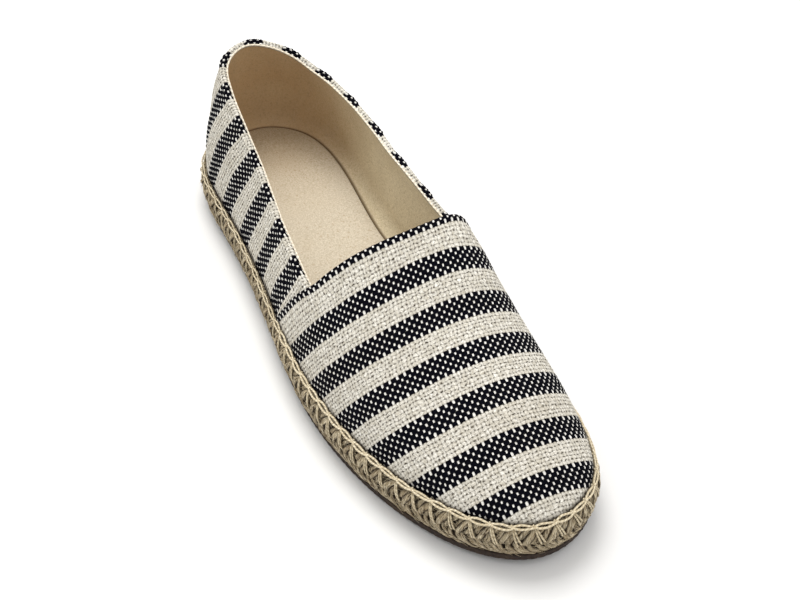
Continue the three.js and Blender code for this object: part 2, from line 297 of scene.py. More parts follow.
def noise1(x, seed, scale=1.0):
    """Smooth seeded noise along a line, about -1 to 1."""
    g = np.random.default_rng(seed).uniform(-1, 1, 997)
    s = np.asarray(x, float) / scale
    i = np.floor(s).astype(int)
    f = s - i
    f = f * f * (3 - 2 * f)
    return g[i % 997] * (1 - f) + g[(i + 1) % 997] * f


def noise2(x, y, seed, scale=1.0):
    g = np.random.default_rng(seed).uniform(-1, 1, (211, 223))
    sx, sy = np.asarray(x, float) / scale, np.asarray(y, float) / scale
    i, j = np.floor(sx).astype(int), np.floor(sy).astype(int)
    fx, fy = sx - i, sy - j
    fx, fy = fx * fx * (3 - 2 * fx), fy * fy * (3 - 2 * fy)
    a = g[i % 211, j % 223] * (1 - fx) + g[(i + 1) % 211, j % 223] * fx
    b = g[i % 211, (j + 1) % 223] * (1 - fx) + g[(i + 1) % 211, (j + 1) % 223] * fx
    return a * (1 - fy) + b * fy


# ------------------------------------------------------------------ node helpers
class Nodes:
    def __init__(self, name):
        self.mat = bpy.data.materials.new(name)
        self.mat.use_nodes = True
        self.t = self.mat.node_tree
        self.t.nodes.clear()
        self.out = self.t.nodes.new("ShaderNodeOutputMaterial")
        self.bsdf = self.t.nodes.new("ShaderNodeBsdfPrincipled")
        self.t.links.new(self.bsdf.outputs[0], self.out.inputs["Surface"])

    def put(self, node, key, value):
        if isinstance(value, bpy.types.NodeSocket):
            self.t.links.new(value, node.inputs[key])
        elif value is not None:
            node.inputs[key].default_value = value

    def math(self, op, a, b=None, c=None, clamp=False):
        n = self.t.nodes.new("ShaderNodeMath")
        n.operation, n.use_clamp = op, clamp
        for k, v in enumerate((a, b, c)):
            self.put(n, k, v)
        return n.outputs[0]

    def add(self, a, b): return self.math("ADD", a, b)
    def sub(self, a, b): return self.math("SUBTRACT", a, b)
    def mul(self, a, b): return self.math("MULTIPLY", a, b)

    def uv(self, label):
        n = self.t.nodes.new("ShaderNodeUVMap")
        n.uv_map = label
        s = self.t.nodes.new("ShaderNodeSeparateXYZ")
        self.t.links.new(n.outputs[0], s.inputs[0])
        return s.outputs[0], s.outputs[1]

    def place(self):
        return self.t.nodes.new("ShaderNodeTexCoord").outputs["Object"]

    def vec(self, x, y=0.0, z=0.0):
        n = self.t.nodes.new("ShaderNodeCombineXYZ")
        for k, v in enumerate((x, y, z)):
            self.put(n, k, v)
        return n.outputs[0]

    def noise(self, vector, scale, detail=2.0, rough=0.5):
        n = self.t.nodes.new("ShaderNodeTexNoise")
        self.put(n, "Vector", vector)
        self.put(n, "Scale", scale)
        self.put(n, "Detail", detail)
        self.put(n, "Roughness", rough)
        return n.outputs["Fac"]

    def voronoi(self, vector, scale, feature="F1"):
        n = self.t.nodes.new("ShaderNodeTexVoronoi")
        n.feature = feature
        self.put(n, "Vector", vector)
        self.put(n, "Scale", scale)
        return n.outputs["Distance"], n.outputs["Color"]

    def mix(self, fac, a, b, mode="MIX"):
        n = self.t.nodes.new("ShaderNodeMix")
        n.data_type, n.blend_type = "RGBA", mode
        self.put(n, 0, fac)
        for k, v in ((6, a), (7, b)):
            self.put(n, k, v if isinstance(v, bpy.types.NodeSocket) else (*v, 1.0))
        return n.outputs[2]

    def ramp(self, fac, lo, hi, a=0.0, b=1.0):
        n = self.t.nodes.new("ShaderNodeMapRange")
        n.interpolation_type = "SMOOTHSTEP"
        self.put(n, 0, fac)
        for k, v in ((1, lo), (2, hi), (3, a), (4, b)):
            n.inputs[k].default_value = v
        return n.outputs[0]

    def bump(self, height, distance, strength=1.0):
        n = self.t.nodes.new("ShaderNodeBump")
        self.put(n, "Height", height)
        n.inputs["Distance"].default_value = distance
        n.inputs["Strength"].default_value = strength
        self.t.links.new(n.outputs[0], self.bsdf.inputs["Normal"])
        return n

    def finish(self, color, roughness, sheen=0.0, specular=0.3):
        self.put(self.bsdf, "Base Color", color if isinstance(color, bpy.types.NodeSocket) else (*color, 1.0))
        self.put(self.bsdf, "Roughness", roughness)
        self.bsdf.inputs["Specular IOR Level"].default_value = specular
        self.bsdf.inputs["Sheen Weight"].default_value = sheen
        self.bsdf.inputs["Sheen Roughness"].default_value = 0.5
        return self.mat


def srgb(r, g, b):
    return tuple(((c / 255 + 0.055) / 1.055) ** 2.4 if c > 10 else c / 255 / 12.92 for c in (r, g, b))


# ------------------------------------------------------------------ the weave
WARP, PICKS = 1.48, 12  # mm from warp to warp; wefts in a navy stripe and the cream one after it
# half sizes, in yarns, of a weft lying over a warp and of a warp lying over a weft: in a navy stripe, in a cream one,
# and in a navy stripe's first and last wefts, which stand as teeth against the cream
FLOAT = ((1.02, 0.64), (0.80, 0.60), (0.80, 0.70))
KNOT = ((0.33, 0.38), (0.58, 0.72), (0.36, 0.62))


def row_kind(row):
    m = np.mod(row, PICKS)
    return np.where(m > 5.5, 1, np.where((m < 0.5) | (m > 4.5), 2, 0))


def weave(i, j):
    """Height of plain weave, 0 in the gaps to 1 on the yarns; i counts warps and j wefts."""
    def near(x, y):
        p, q = np.round((x + y) / 2), np.round((x - y) / 2)
        return x - (p + q), y - (p - q)
    dx, dy = near(i - 1.5, j - 0.5)
    ex, ey = near(i - 0.5, j - 0.5)
    a, b = np.moveaxis(np.array(FLOAT)[row_kind(np.round(j - 0.5 - dy))], -1, 0)
    hf = np.sqrt(np.maximum(0, 1 - (dx / a) ** 2 - (dy / b) ** 2))
    a, b = np.moveaxis(np.array(KNOT)[row_kind(np.round(j - 0.5 - ey))], -1, 0)
    hw = 0.98 * np.sqrt(np.maximum(0, 1 - (ex / a) ** 2 - (ey / b) ** 2))
    return np.maximum(hf, hw)


def canvas_material(name):
    n = Nodes(name)
    i, j = n.uv("Weave")
    wob = n.noise(n.vec(i, j), 0.45, 1.0)
    wob2 = n.noise(n.vec(j, i), 0.6, 1.0)
    i = n.add(i, n.mul(n.sub(wob, 0.5), 0.34))
    j = n.add(j, n.mul(n.sub(wob2, 0.5), 0.22))
    m = n.math("FLOORED_MODULO", j, float(PICKS))
    loose = n.mul(n.ramp(m, 6.0, 6.8), n.ramp(m, 11.2, 12.0, 1.0, 0.0))  # cream yarns sit less evenly
    i = n.add(i, n.mul(n.mul(n.sub(n.noise(n.vec(i, j, 11.0), 0.95, 1.0), 0.5), 1.5), loose))
    j = n.add(j, n.mul(n.mul(n.sub(n.noise(n.vec(i, j, 17.0), 0.95, 1.0), 0.5), 1.1), loose))
    y = n.sub(j, 0.5)

    def near(x):
        p = n.math("ROUND", n.mul(n.add(x, y), 0.5))
        q = n.math("ROUND", n.mul(n.sub(x, y), 0.5))
        row = n.sub(p, q)
        return n.sub(x, n.add(p, q)), n.sub(y, row), row, p

    def square(x):
        return n.mul(x, x)

    def dome(dx, dy, kinds, share):
        """Height of a yarn's crossing, sized for the stripe it lies in."""
        total = 0.0
        for (a, b), w in zip(kinds, share):
            r = n.add(square(n.mul(dx, 1 / a)), square(n.mul(dy, 1 / b)))
            total = n.add(total, n.mul(n.math("SQRT", n.math("MAXIMUM", n.sub(1.0, r), 0.0)), w))
        return total

    def kinds_at(row):
        m = n.math("FLOORED_MODULO", n.add(row, 0.5), float(PICKS))
        navy = n.math("LESS_THAN", m, 6.0)
        inner = n.mul(n.math("GREATER_THAN", m, 1.0), n.math("LESS_THAN", m, 5.0))
        return inner, n.sub(1.0, navy), n.sub(navy, inner)

    fx, fy, row, fp = near(n.sub(i, 1.5))
    wx, wy, wrow, wp = near(n.sub(i, 0.5))
    size = n.noise(n.vec(n.mul(wp, 3.17), n.mul(wrow, 5.31)), 1.0, 0.0)
    weft_kind, warp_kind = kinds_at(row), kinds_at(wrow)
    navy, near_navy = n.sub(1.0, weft_kind[1]), n.sub(1.0, warp_kind[1])
    hf = dome(fx, fy, FLOAT, weft_kind)
    hw = n.mul(dome(wx, wy, KNOT, warp_kind), 0.98)
    is_warp = n.ramp(n.sub(n.add(hw, n.mul(n.sub(size, 0.5), 0.25)), hf), -0.05, 0.05)
    top = n.math("MAXIMUM", hf, hw)
    # fine plies along each yarn
    ply_f = n.noise(n.vec(n.mul(i, 1.3), n.mul(j, 8.0), row), 1.0, 2.0, 0.65)
    ply_w = n.noise(n.vec(n.mul(i, 9.0), n.mul(j, 1.5), wrow), 1.0, 2.0, 0.65)
    ply = n.math("ADD", n.mul(ply_w, is_warp), n.mul(ply_f, n.sub(1.0, is_warp)))
    speck = n.noise(n.vec(i, j, 3.0), 1.7, 3.0, 0.7)
    cream = n.mix(n.ramp(ply, 0.40, 0.60), srgb(196, 190, 177), srgb(245, 242, 233))
    each = n.add(n.mul(size, is_warp), n.mul(n.noise(n.vec(n.mul(fp, 2.71), n.mul(row, 4.43), 9.0), 1.0, 0.0), n.sub(1.0, is_warp)))
    cream = n.mix(n.ramp(each, 0.42, 0.62, 0.0, 0.28), cream, srgb(174, 165, 143))  # each crossing its own shade
    cream = n.mix(n.ramp(speck, 0.54, 0.66, 0.0, 0.26), cream, srgb(156, 142, 116))
    # painted shade: the cream goes dark in the gaps between yarns, more in some places than others by a noise
    gap_shade_noise = n.noise(n.vec(i, j, 7.0), 0.7, 2.0, 0.6)
    gap = n.mul(n.ramp(top, 0.24, 0.96, 1.0, 0.0), n.ramp(gap_shade_noise, 0.34, 0.54, 0.6, 1.0))
    cream = n.mix(gap, cream, srgb(60, 50, 36))
    dark = n.mix(n.ramp(ply, 0.35, 0.7), srgb(3, 3, 8), srgb(11, 12, 22))
    # painted shade: the navy goes darker where the yarns dip into the gaps
    dark = n.mix(n.ramp(top, 0.0, 0.5, 0.9, 0.0), dark, srgb(3, 3, 6))
    # painted shade: a cream warp knot on navy is grey where it dips at its edges and light on its top
    dot = n.mix(n.ramp(top, 0.1, 0.6), srgb(120, 116, 108), srgb(232, 230, 224))
    weft = n.mix(navy, cream, dark)
    warp = n.mix(near_navy, cream, dot)  # a warp knot takes its look from the stripe it lies in
    color = n.mix(is_warp, weft, warp)
    big = n.noise(n.place(), 38.0, 2.0)
    color = n.mix(n.ramp(big, 0.45, 0.75, 0.0, 0.16), color, srgb(196, 186, 168), "MULTIPLY")
    foot = n.uv("Foot")[0]  # mm above the feather line: painted shade where the stitch pulls the cloth in
    color = n.mix(n.ramp(foot, 0.7, 3.0, 0.92, 0.0), color, srgb(58, 46, 32), "MULTIPLY")
    height = n.add(n.mul(top, 0.9), n.mul(ply, 0.45))
    n.bump(height, 0.00055, 1.0)
    return n.finish(color, n.ramp(ply, 0.3, 0.7, 0.92, 0.80), sheen=0.0, specular=0.04)


canvas = canvas_material("striped_canvas")

# Stripes: centre of each navy stripe on the vamp's middle line, and along the quarter's two edges.
VAMP_STRIPES = np.array([[143.4, -9], [159.4, 3], [175.6, 15], [192.2, 27], [209.1, 39], [226.8, 51], [243.2, 63]])  # x, weft
QUARTER_STRIPES = np.array([  # stripe, mm along the collar from the heel, mm along the feather line; outer side positive
    [-8, -150.0, -151.5], [-7, -130.5, -130.5], [-6, -114.8, -110.5], [-5, -95.5, -89.5], [-4, -74.6, -68.5], [-3, -53.6, -48.6], [-2, -34.4, -31.0], [-1, -16.6, -15.2],
    [0, 0.7, 0.6], [1, 17.6, 16.0], [2, 34.0, 31.6], [3, 51.2, 48.8], [4, 68.6, 67.8], [5, 86.4, 88.6], [6, 105.8, 109.0], [7, 126.4, 129.9], [8, 148.0, 151.0]])
SETBACK = 0.52  # how far a stripe drops back down the vamp's side, per mm of fall


def soft_creases(P, table):
    """Soft troughs and ridges: rows of centre x, y, z, direction x, y, z, length, width, depth."""
    total = np.zeros(P.shape[:-1])
    for cx, cy, cz, dx, dy, dz, long, wide, deep in table:
        d = P - np.array([cx, cy, cz])
        a = unit(np.array([dx, dy, dz], float))
        along = d @ a
        across = np.linalg.norm(d - along[..., None] * a, axis=-1)
        total -= deep * np.exp(-((along / long) ** 2) ** 1.2 - (across / wide) ** 2)
    return total


VAMP_CREASES = [
    [150, -27, 44, 0.55, -0.3, -0.7, 13, 4.0, 0.55],
    [146, 30, 50, 0.5, 0.3, -0.75, 12, 4.0, 0.50],
    [168, -33, 33, 0.85, 0.1, -0.5, 15, 5.0, 0.40],
    [178, 6, 49, 0.2, 1.0, 0.0, 22, 5.5, 0.35],
    [203, -8, 40, 0.15, 1.0, 0.0, 20, 6.0, 0.30],
    [214, 22, 36, 0.6, 0.8, -0.1, 12, 5.0, -0.30],
    [236, -9, 29, 0.3, 0.9, 0.0, 10, 4.0, 0.30],
    [188, -30, 33, 0.8, -0.2, -0.5, 11, 4.5, -0.35],
]
QUARTER_CREASES = [
    [20, -20, 44, 0.5, 0.0, 1.0, 12, 4.0, 0.7],
    [46, -24, 42, -0.45, 0.0, 1.0, 11, 4.5, -0.6],
    [62, -25, 40, 0.5, 0.0, 0.9, 10, 4.0, 0.6],
    [84, -28, 34, -0.6, 0.0, 0.8, 10, 4.5, 0.5],
    [104, -30, 33, 0.6, 0.0, 0.8, 9, 4.5, -0.5],
    [116, -30, 34, 0.8, -0.1, -0.6, 10, 4.0, 0.6],
    [6, 3, 40, 0.1, 0.0, 1.0, 14, 6.0, -0.5],
    [3, -9, 30, 0.3, 0.5, 0.8, 8, 4.0, 0.5],
    [40, 30, 42, 0.5, 0.0, 0.9, 12, 5.0, 0.6],
    [76, 30, 44, -0.6, 0.0, 0.8, 12, 5.0, -0.6],
    [100, 29, 40, 0.6, 0.0, 0.7, 12, 5.0, 0.6],
    [122, 31, 38, 0.8, 0.1, -0.6, 9, 4.0, 0.6],
]


def foot_uv(P):
    return np.stack([P[..., 2] - rope_top(P[..., 0]), np.zeros(P.shape[:-1])], -1)


def weave_height(i, j, seed):
    """Displacement in mm of the cloth's face at yarn i, j, with uneven yarns."""
    thick = 1 + 0.16 * noise1(np.floor(j), seed, 1.0) + 0.10 * noise1(np.floor(i), seed + 1, 1.0)
    return 0.46 * thick * (weave(i, j) - 0.55)


# ------------------------------------------------------------------ vamp
def centre_line():
    uu = np.linspace(0.4, 0.6, 4001)
    tip = uu[np.argmax(rim(uu, FEATHER_INSET)[0])]
    x = np.arange(118, 200, 0.25)
    ridge = np.stack([x, ridge_y(x) + lean_at(x) * crest_height(x), rope_top(x) + crest_height(x)], -1)
    r = 1 - np.linspace(0, 1, 500)[1:] ** 1.0
    r = np.sin(r * np.pi / 2) ** 0.9
    front = last(np.full(len(r), tip), r)
    P = np.vstack([ridge, front])
    rise = np.concatenate([np.ones(len(x)), r])
    arc = np.concatenate([[0], np.cumsum(np.linalg.norm(np.diff(P, axis=0), axis=1))])
    return tip, P, rise, arc


TIP_U, LINE, LINE_RISE, LINE_ARC = centre_line()


def vamp_rows(wefts, t):
    """The vamp's surface as rows of cloth: points (weft, warp) out to and past the feather line, with its ends."""
    stripe_arc = np.interp(VAMP_STRIPES[:, 0], LINE[:, 0], LINE_ARC)
    tip_weft = VAMP_STRIPES[-1, 1] + (LINE_ARC[-1] - stripe_arc[-1]) / 1.46
    weft_at = smooth(np.r_[stripe_arc, LINE_ARC[-1]], np.r_[VAMP_STRIPES[:, 1], tip_weft])
    arcs = np.interp(wefts, weft_at(LINE_ARC), LINE_ARC)
    xc, zc, top = np.interp(arcs, LINE_ARC, LINE[:, 0]), np.interp(arcs, LINE_ARC, LINE[:, 2]), np.interp(arcs, LINE_ARC, LINE_RISE)
    tau = np.linspace(0, 1, 96)
    r = top[:, None] * (1 - (1 - tau[None]) ** 1.6)

    def ahead(u):
        P = last(u, r)
        return P[..., 0] - xc[:, None] + SETBACK * (np.sqrt((zc[:, None] - P[..., 2]) ** 2 + 36) - 6)
    sides = []
    for a, b in ((0.03, TIP_U), (0.97, TIP_U)):
        lo, hi = np.full(r.shape, a), np.full(r.shape, b)
        for _ in range(30):
            m = (lo + hi) / 2
            over = ahead(m) > 0
            lo, hi = np.where(over, lo, m), np.where(over, m, hi)
        sides.append(last((lo + hi) / 2, r))
    middle = (sides[0][:, -1] + sides[1][:, -1]) / 2
    P = np.zeros((len(wefts), len(t), 3))
    ends = np.zeros((len(wefts), 2))
    for k in range(len(wefts)):
        for sgn, side, col in ((-1, sides[0][k], 0), (1, sides[1][k], 1)):
            line = np.vstack([middle[k], side[::-1][1:]])
            arc = np.concatenate([[0], np.cumsum(np.linalg.norm(np.diff(line, axis=0), axis=1))])
            ends[k, col] = arc[-1]
            line = np.vstack([line, line[-1] - [0, 0, 200]])
            arc = np.append(arc, arc[-1] + 200)
            pick = t * sgn >= 0
            for c in range(3):
                P[k, pick, c] = np.interp(t[pick] * sgn, arc, line[:, c])
    return P, ends


def clamp_sides(P, N, ends, t):
    """Brings what lies past the feather line back onto it, row by row."""
    P, N, T = P.copy(), N.copy(), np.broadcast_to(t, P.shape[:2]).copy()
    for k in range(len(P)):
        for sgn, e in ((-1, ends[k, 0]), (1, ends[k, 1])):
            out = np.where(t * sgn > e)[0]
            if len(out):
                inside = out[0] - 1 if sgn > 0 else out[-1] + 1
                edge = [np.interp(e * sgn, t, P[k, :, c]) for c in range(3)]
                P[k, out], N[k, out], T[k, out] = edge, N[k, inside], e * sgn
    return P, N, T


def vamp_edge(P, N, T, wefts, t):
    """For each warp, the weft where the vamp's back edge runs: the throat, then straight down the sides."""
    edge = np.zeros(len(t))
    gap = P[..., 0] - throat_x(P[..., 1])
    for c in range(len(t)):
        k = np.argmax(gap[:, c] > 0)
        k = max(k, 1)
        a, b = gap[k - 1, c], gap[k, c]
        edge[c] = wefts[k - 1] + (wefts[k] - wefts[k - 1]) * np.clip(-a / (b - a), 0, 1)
    z = np.array([np.interp(edge[c], wefts, P[:, c, 2]) for c in range(len(t))])
    mid = int(np.argmin(np.abs(t)))
    for sgn, floor_z, side in ((-1, 44.5, -9.9), (1, 46.5, -6.6)):
        cols = np.arange(mid, -1, -1) if sgn < 0 else np.arange(mid, len(t))
        corner = next(k for k, c in enumerate(cols) if z[c] < floor_z)
        at = edge[cols[corner]]
        past = np.abs(t[cols[corner:]] - t[cols[corner]])
        edge[cols[corner:]] = at + (side - at) * (1 - np.exp(-((past / 9.0) ** 2)))
    return edge


def proud(distance):
    """How far the turned hem stands out, at a distance in mm from the edge."""
    return 0.50 * np.exp(-np.maximum(distance, 0) / 7.0) + 0.25 * np.exp(-((distance - 1.0) / 1.6) ** 2)


STEP = 0.405
wefts = np.arange(-16, 76, 0.28)
t = np.arange(-208, 165) * STEP
MIDDLE = 208
P0, ends = vamp_rows(wefts, t)
valid = ends.sum(1) > 0.4
P0, ends, wefts = P0[valid], ends[valid], wefts[valid]
N0 = unit(np.cross(np.gradient(P0, axis=1), np.gradient(P0, axis=0)))
if N0[len(wefts) // 3, MIDDLE, 2] < 0:
    N0 = -N0
P1, N1, T1 = clamp_sides(P0, N0, ends, t)
edge = vamp_edge(P0, N0, T1, wefts, t)


def column(A, at):
    """Values of a (weft, warp) array where each warp is at its own weft."""
    k = np.clip(np.searchsorted(wefts, at, side="right") - 1, 0, len(wefts) - 2)
    f = ((at - wefts[k]) / (wefts[k + 1] - wefts[k]))
    c = np.arange(A.shape[1])
    f = f[:, None] if A.ndim == 3 else f
    return A[k, c] * (1 - f) + A[k + 1, c] * f


E, EN, ET = column(P1, edge), unit(column(N1, edge)), column(T1, edge)
ahead = column(P1, edge + 1.0)
EB = E - ahead
EB = unit(EB - (EB * EN).sum(-1, keepdims=True) * EN)
RHO = 0.80
HEM_WEFT = -7.45
rows_P, rows_N, rows_i, rows_j, rows_d = [], [], [], [], []
for back in (5.0, 4.0, 3.0, 2.0, 1.2, 0.5):  # the hem turned under
    p = column(P1, edge + back / 1.46)
    n = unit(column(N1, edge + back / 1.46))
    rows_P.append(p - n * 2 * RHO)
    rows_N.append(-n)
    rows_j.append(edge - (math.pi * RHO + back) / 1.46)
    rows_i.append(column(T1, edge + back / 1.46) / WARP)
    rows_d.append(np.full(len(t), back))
for th in np.linspace(180, 12, 9):
    a = math.radians(th)
    n = EN * math.cos(a) + EB * math.sin(a)
    rows_P.append(E - EN * RHO + n * RHO)
    rows_N.append(n)
    rows_j.append(edge - a * RHO / 1.46)
    rows_i.append(ET / WARP)
    rows_d.append(np.zeros(len(t)))
main_j = np.maximum(wefts[:, None], edge[None])
main_P, main_N, main_i = P1.copy(), N1.copy(), T1 / WARP
for c in range(len(t)):
    before = wefts <= edge[c]
    main_P[before, c], main_N[before, c], main_i[before, c] = E[c], EN[c], ET[c] / WARP
keep_from = int(np.searchsorted(wefts, edge.min())) - 1
main_d = (main_j - edge[None]) * 1.46
VP = np.concatenate([np.array(rows_P), main_P[keep_from:]])
VN = np.concatenate([np.array(rows_N), main_N[keep_from:]])
VI = np.concatenate([np.array(rows_i), main_i[keep_from:]])
VJ = np.concatenate([np.array(rows_j), main_j[keep_from:]])
VD = np.concatenate([np.array(rows_d), main_d[keep_from:]])
# the cloth is drawn so that the hem keeps its navy yarns all along
VJ = VJ + (HEM_WEFT - edge)[None] * np.exp(-((np.maximum(VD, 0) / 7.5) ** 2))
hem = len(rows_P)
shape_out = np.concatenate([np.repeat(proud(np.zeros(1)), hem)[:, None] * np.ones((1, len(t))), proud(main_d[keep_from:])])
base_normal = np.concatenate([np.repeat(EN[None], hem, 0), main_N[keep_from:]])
big = soft_creases(VP, VAMP_CREASES) + 0.12 * noise2(VI, VJ, 5, 7.0)
big[:hem] = big[hem]
VP = VP + base_normal * (shape_out + big)[..., None] + VN * weave_height(VI, VJ, 31)[..., None]
VP[..., 2] = np.maximum(VP[..., 2], rope_top(VP[..., 0]) + 0.05)
vamp = make("vamp_canvas", VP, grid_faces(*VI.shape), canvas,
            {"Weave": np.stack([VI, VJ], -1), "OFBake": grid_uv(*VI.shape), "Foot": foot_uv(VP)}, weld=True)

# the same cloth's inner side, a plain lining one wall inside
LINING_STEP = 4
lj = np.arange(0, len(wefts), LINING_STEP)
inner_P = P1 - N1 * WALL
start = int(np.searchsorted(wefts, edge.min())) - 1
lp = inner_P.copy()
for c in range(len(t)):
    before = wefts <= edge[c] + 2.0
    q = edge[c] + 2.0
    lp[before, c] = [np.interp(q, wefts, inner_P[:, c, k]) for k in range(3)]
lp[..., 2] = np.maximum(lp[..., 2], rope_top(lp[..., 0]) + 0.4)
lp = lp[start::LINING_STEP][:, ::LINING_STEP]

# ------------------------------------------------------------------ quarter
fine = np.linspace(-0.30, 0.30, 2401)
feather = last(fine, np.zeros(len(fine)))
lo, hi = np.full(len(fine), 0.02), np.full(len(fine), 0.995)
for _ in range(34):
    m = (lo + hi) / 2
    q = last(fine, m)
    over = q[:, 2] > collar_z(q[:, 0], q[:, 1])
    lo, hi = np.where(over, lo, m), np.where(over, m, hi)
collar_rise = (lo + hi) / 2
collar_line = last(fine, collar_rise)


def arc_from_heel(P):
    a = np.concatenate([[0], np.cumsum(np.linalg.norm(np.diff(P, axis=0), axis=1))])
    return a - np.interp(0.0, fine, a)


collar_arc, feather_arc = arc_from_heel(collar_line), arc_from_heel(feather)
q_weft = np.arange(-92, 97.6, 0.265)  # 12 to a stripe; weft 0 is the near edge of the stripe at the heel
along_collar = smooth(QUARTER_STRIPES[:, 0] * PICKS + 3, QUARTER_STRIPES[:, 1])
along_feather = smooth(QUARTER_STRIPES[:, 0] * PICKS + 3, QUARTER_STRIPES[:, 2])
u_c = np.interp(along_collar(q_weft), collar_arc, fine)
u_f = np.interp(along_feather(q_weft), feather_arc, fine)
r_c = np.interp(u_c, fine, collar_rise)
RIM = 1.20  # the collar's rolled edge


def quarter_lines(samples=80):
    v = np.linspace(0, 1, samples)
    u = u_c[:, None] + (u_f - u_c)[:, None] * v[None] ** 1.15
    # the collar's own height at each u keeps the yarns along the collar parallel to it
    r = np.interp(u, fine, collar_rise) * (1 - v[None]) ** 0.85
    return last(u, r), u, r


QL, QU, QR = quarter_lines()
QCOLS = 140
qt = np.arange(0, QCOLS) * STEP
QP = np.zeros((len(q_weft), QCOLS, 3))
q_end = np.zeros(len(q_weft))
for k in range(len(q_weft)):
    arc = np.concatenate([[0], np.cumsum(np.linalg.norm(np.diff(QL[k], axis=0), axis=1))])
    q_end[k] = arc[-1] - RIM * 0.6
    line = np.vstack([QL[k], QL[k, -1] - [0, 0, 100]])
    arc = np.append(arc, arc[-1] + 100) - RIM * 0.6
    for c in range(3):
        QP[k, :, c] = np.interp(qt, arc, line[:, c])
QN = unit(np.cross(np.gradient(QP, axis=0), np.gradient(QP, axis=1)))
if (QN[len(q_weft) // 2, 5] * np.array([-1.0, 0, 0])).sum() < 0:
    QN = -QN
QT = np.broadcast_to(qt, QP.shape[:2]).copy()
for k in range(len(q_weft)):
    out = np.where(qt > q_end[k])[0]
    if len(out):
        edge_p = [np.interp(q_end[k], qt, QP[k, :, c]) for c in range(3)]
        QP[k, out], QN[k, out], QT[k, out] = edge_p, QN[k, out[0] - 1], q_end[k]


def under_vamp(P):
    """How far inward the quarter is pressed where the vamp lies over it."""
    x = P[..., 0]
    z = P[..., 2]
    station = x + SETBACK * (np.sqrt(np.maximum(0, 63 - z) ** 2 + 36) - 6)
    return 1.45 * (0.5 + 0.5 * np.tanh((station - 147.6) / 1.5))


EQ, EQN = QP[:, 0], QN[:, 0]
EQB = unit(EQ - QP[:, 3])
EQB = unit(EQB - (EQB * EQN).sum(-1, keepdims=True) * EQN)
fold_P, fold_N, fold_t = [], [], []
for th in (140, 128, 116, 104, 92, 80, 68, 56, 44, 32, 20, 8):
    a = math.radians(th)
    n = EQN * math.cos(a) + EQB * math.sin(a)
    fold_P.append(EQ - EQN * RIM + n * RIM)
    fold_N.append(n)
    fold_t.append(np.full(len(q_weft), -a * RIM))
n_fold = len(fold_P)
AP = np.concatenate([np.array(fold_P).transpose(1, 0, 2), QP], 1)
AN = np.concatenate([np.array(fold_N).transpose(1, 0, 2), QN], 1)
AT = np.concatenate([np.array(fold_t).T, QT], 1)
AI = AT / WARP + 0.5
AJ = np.broadcast_to(q_weft[:, None], AT.shape)
ABN = np.concatenate([np.repeat(EQN[:, None], n_fold, 1), QN], 1)
rim_puff = 0.28 * np.exp(-((AT - 0.8) / 1.6) ** 2)
qbig = soft_creases(AP, QUARTER_CREASES) * np.clip(AT / 6, 0.15, 1) + 0.16 * noise2(AI, AJ, 9, 6.0) + rim_puff
qbig[:, :n_fold] = qbig[:, n_fold:n_fold + 1]
wave = 0.30 * noise1(AJ, 17, 9.0) * np.exp(-np.maximum(AT, 0) / 5)
at_rim = np.exp(-((np.abs(AT + 0.8) / 2.6) ** 3))  # chunkier on the rolled edge, the navy yarns most
gain = 1 + 0.8 * at_rim
knobs = np.clip(1.4 - np.abs(np.mod(AJ, PICKS) - 3.0) / 2.4, 0, 1)
qbig = qbig + 0.42 * at_rim * knobs
AP = AP + ABN * (qbig + wave - under_vamp(AP))[..., None] + AN * (weave_height(AI, AJ, 51) * gain)[..., None]
AP[..., 2] = np.maximum(AP[..., 2], rope_top(AP[..., 0]) + 0.05)
quarter = make("quarter_canvas", AP, grid_faces(*AI.shape), canvas,
               {"Weave": np.stack([AI, AJ], -1), "OFBake": grid_uv(*AI.shape), "Foot": foot_uv(AP)}, weld=True)

# ------------------------------------------------------------------ lining, with its cove to the sock
def lining_material():
    n = Nodes("cotton_lining")
    i, j = n.uv("Weave")
    p = n.place()
    sep = n.t.nodes.new("ShaderNodeSeparateXYZ")
    n.t.links.new(p, sep.inputs[0])
    a = n.math("SINE", n.mul(n.add(i, j), 2 * math.pi))
    b = n.math("SINE", n.mul(n.sub(i, j), 2 * math.pi))
    twill = n.mul(n.add(a, n.mul(b, 0.5)), 0.5)
    grain = n.noise(p, 2600.0, 2.0, 0.6)
    blot = n.noise(p, 55.0, 3.0)
    rub = n.noise(p, 16.0, 2.0)
    c = n.mix(n.ramp(grain, 0.35, 0.68), srgb(204, 189, 156), srgb(232, 220, 191))
    c = n.mix(n.ramp(blot, 0.4, 0.7, 0.0, 0.30), c, srgb(182, 164, 130))
    c = n.mix(n.ramp(twill, -0.4, 0.8, 0.20, 0.0), c, srgb(150, 130, 98))
    # painted shade: the lining goes browner and darker towards the heel, where the heel's wall is in shadow
    c = n.mix(n.ramp(sep.outputs[0], -0.122, -0.055, 0.70, 0.0), c, srgb(180, 142, 98))
    c = n.mix(n.ramp(rub, 0.5, 0.75, 0.0, 0.2), c, srgb(216, 202, 172))
    # painted shade: the lining darkens down at its foot, in the crevice by the sock's edge
    edge = n.uv("Foot")[0]
    c = n.mix(n.ramp(edge, 0.35, 1.5, 0.85, 0.0), c, srgb(84, 62, 40))
    mottle = n.noise(p, 1000.0, 2.0, 0.6)
    c = n.mix(n.ramp(mottle, 0.50, 0.68, 0.0, 0.30), c, srgb(150, 130, 98))
    n.bump(n.add(n.mul(grain, 0.7), n.mul(twill, 0.25)), 0.00022, 0.8)
    return n.finish(c, n.ramp(grain, 0.3, 0.7, 0.9, 0.75), specular=0.2)


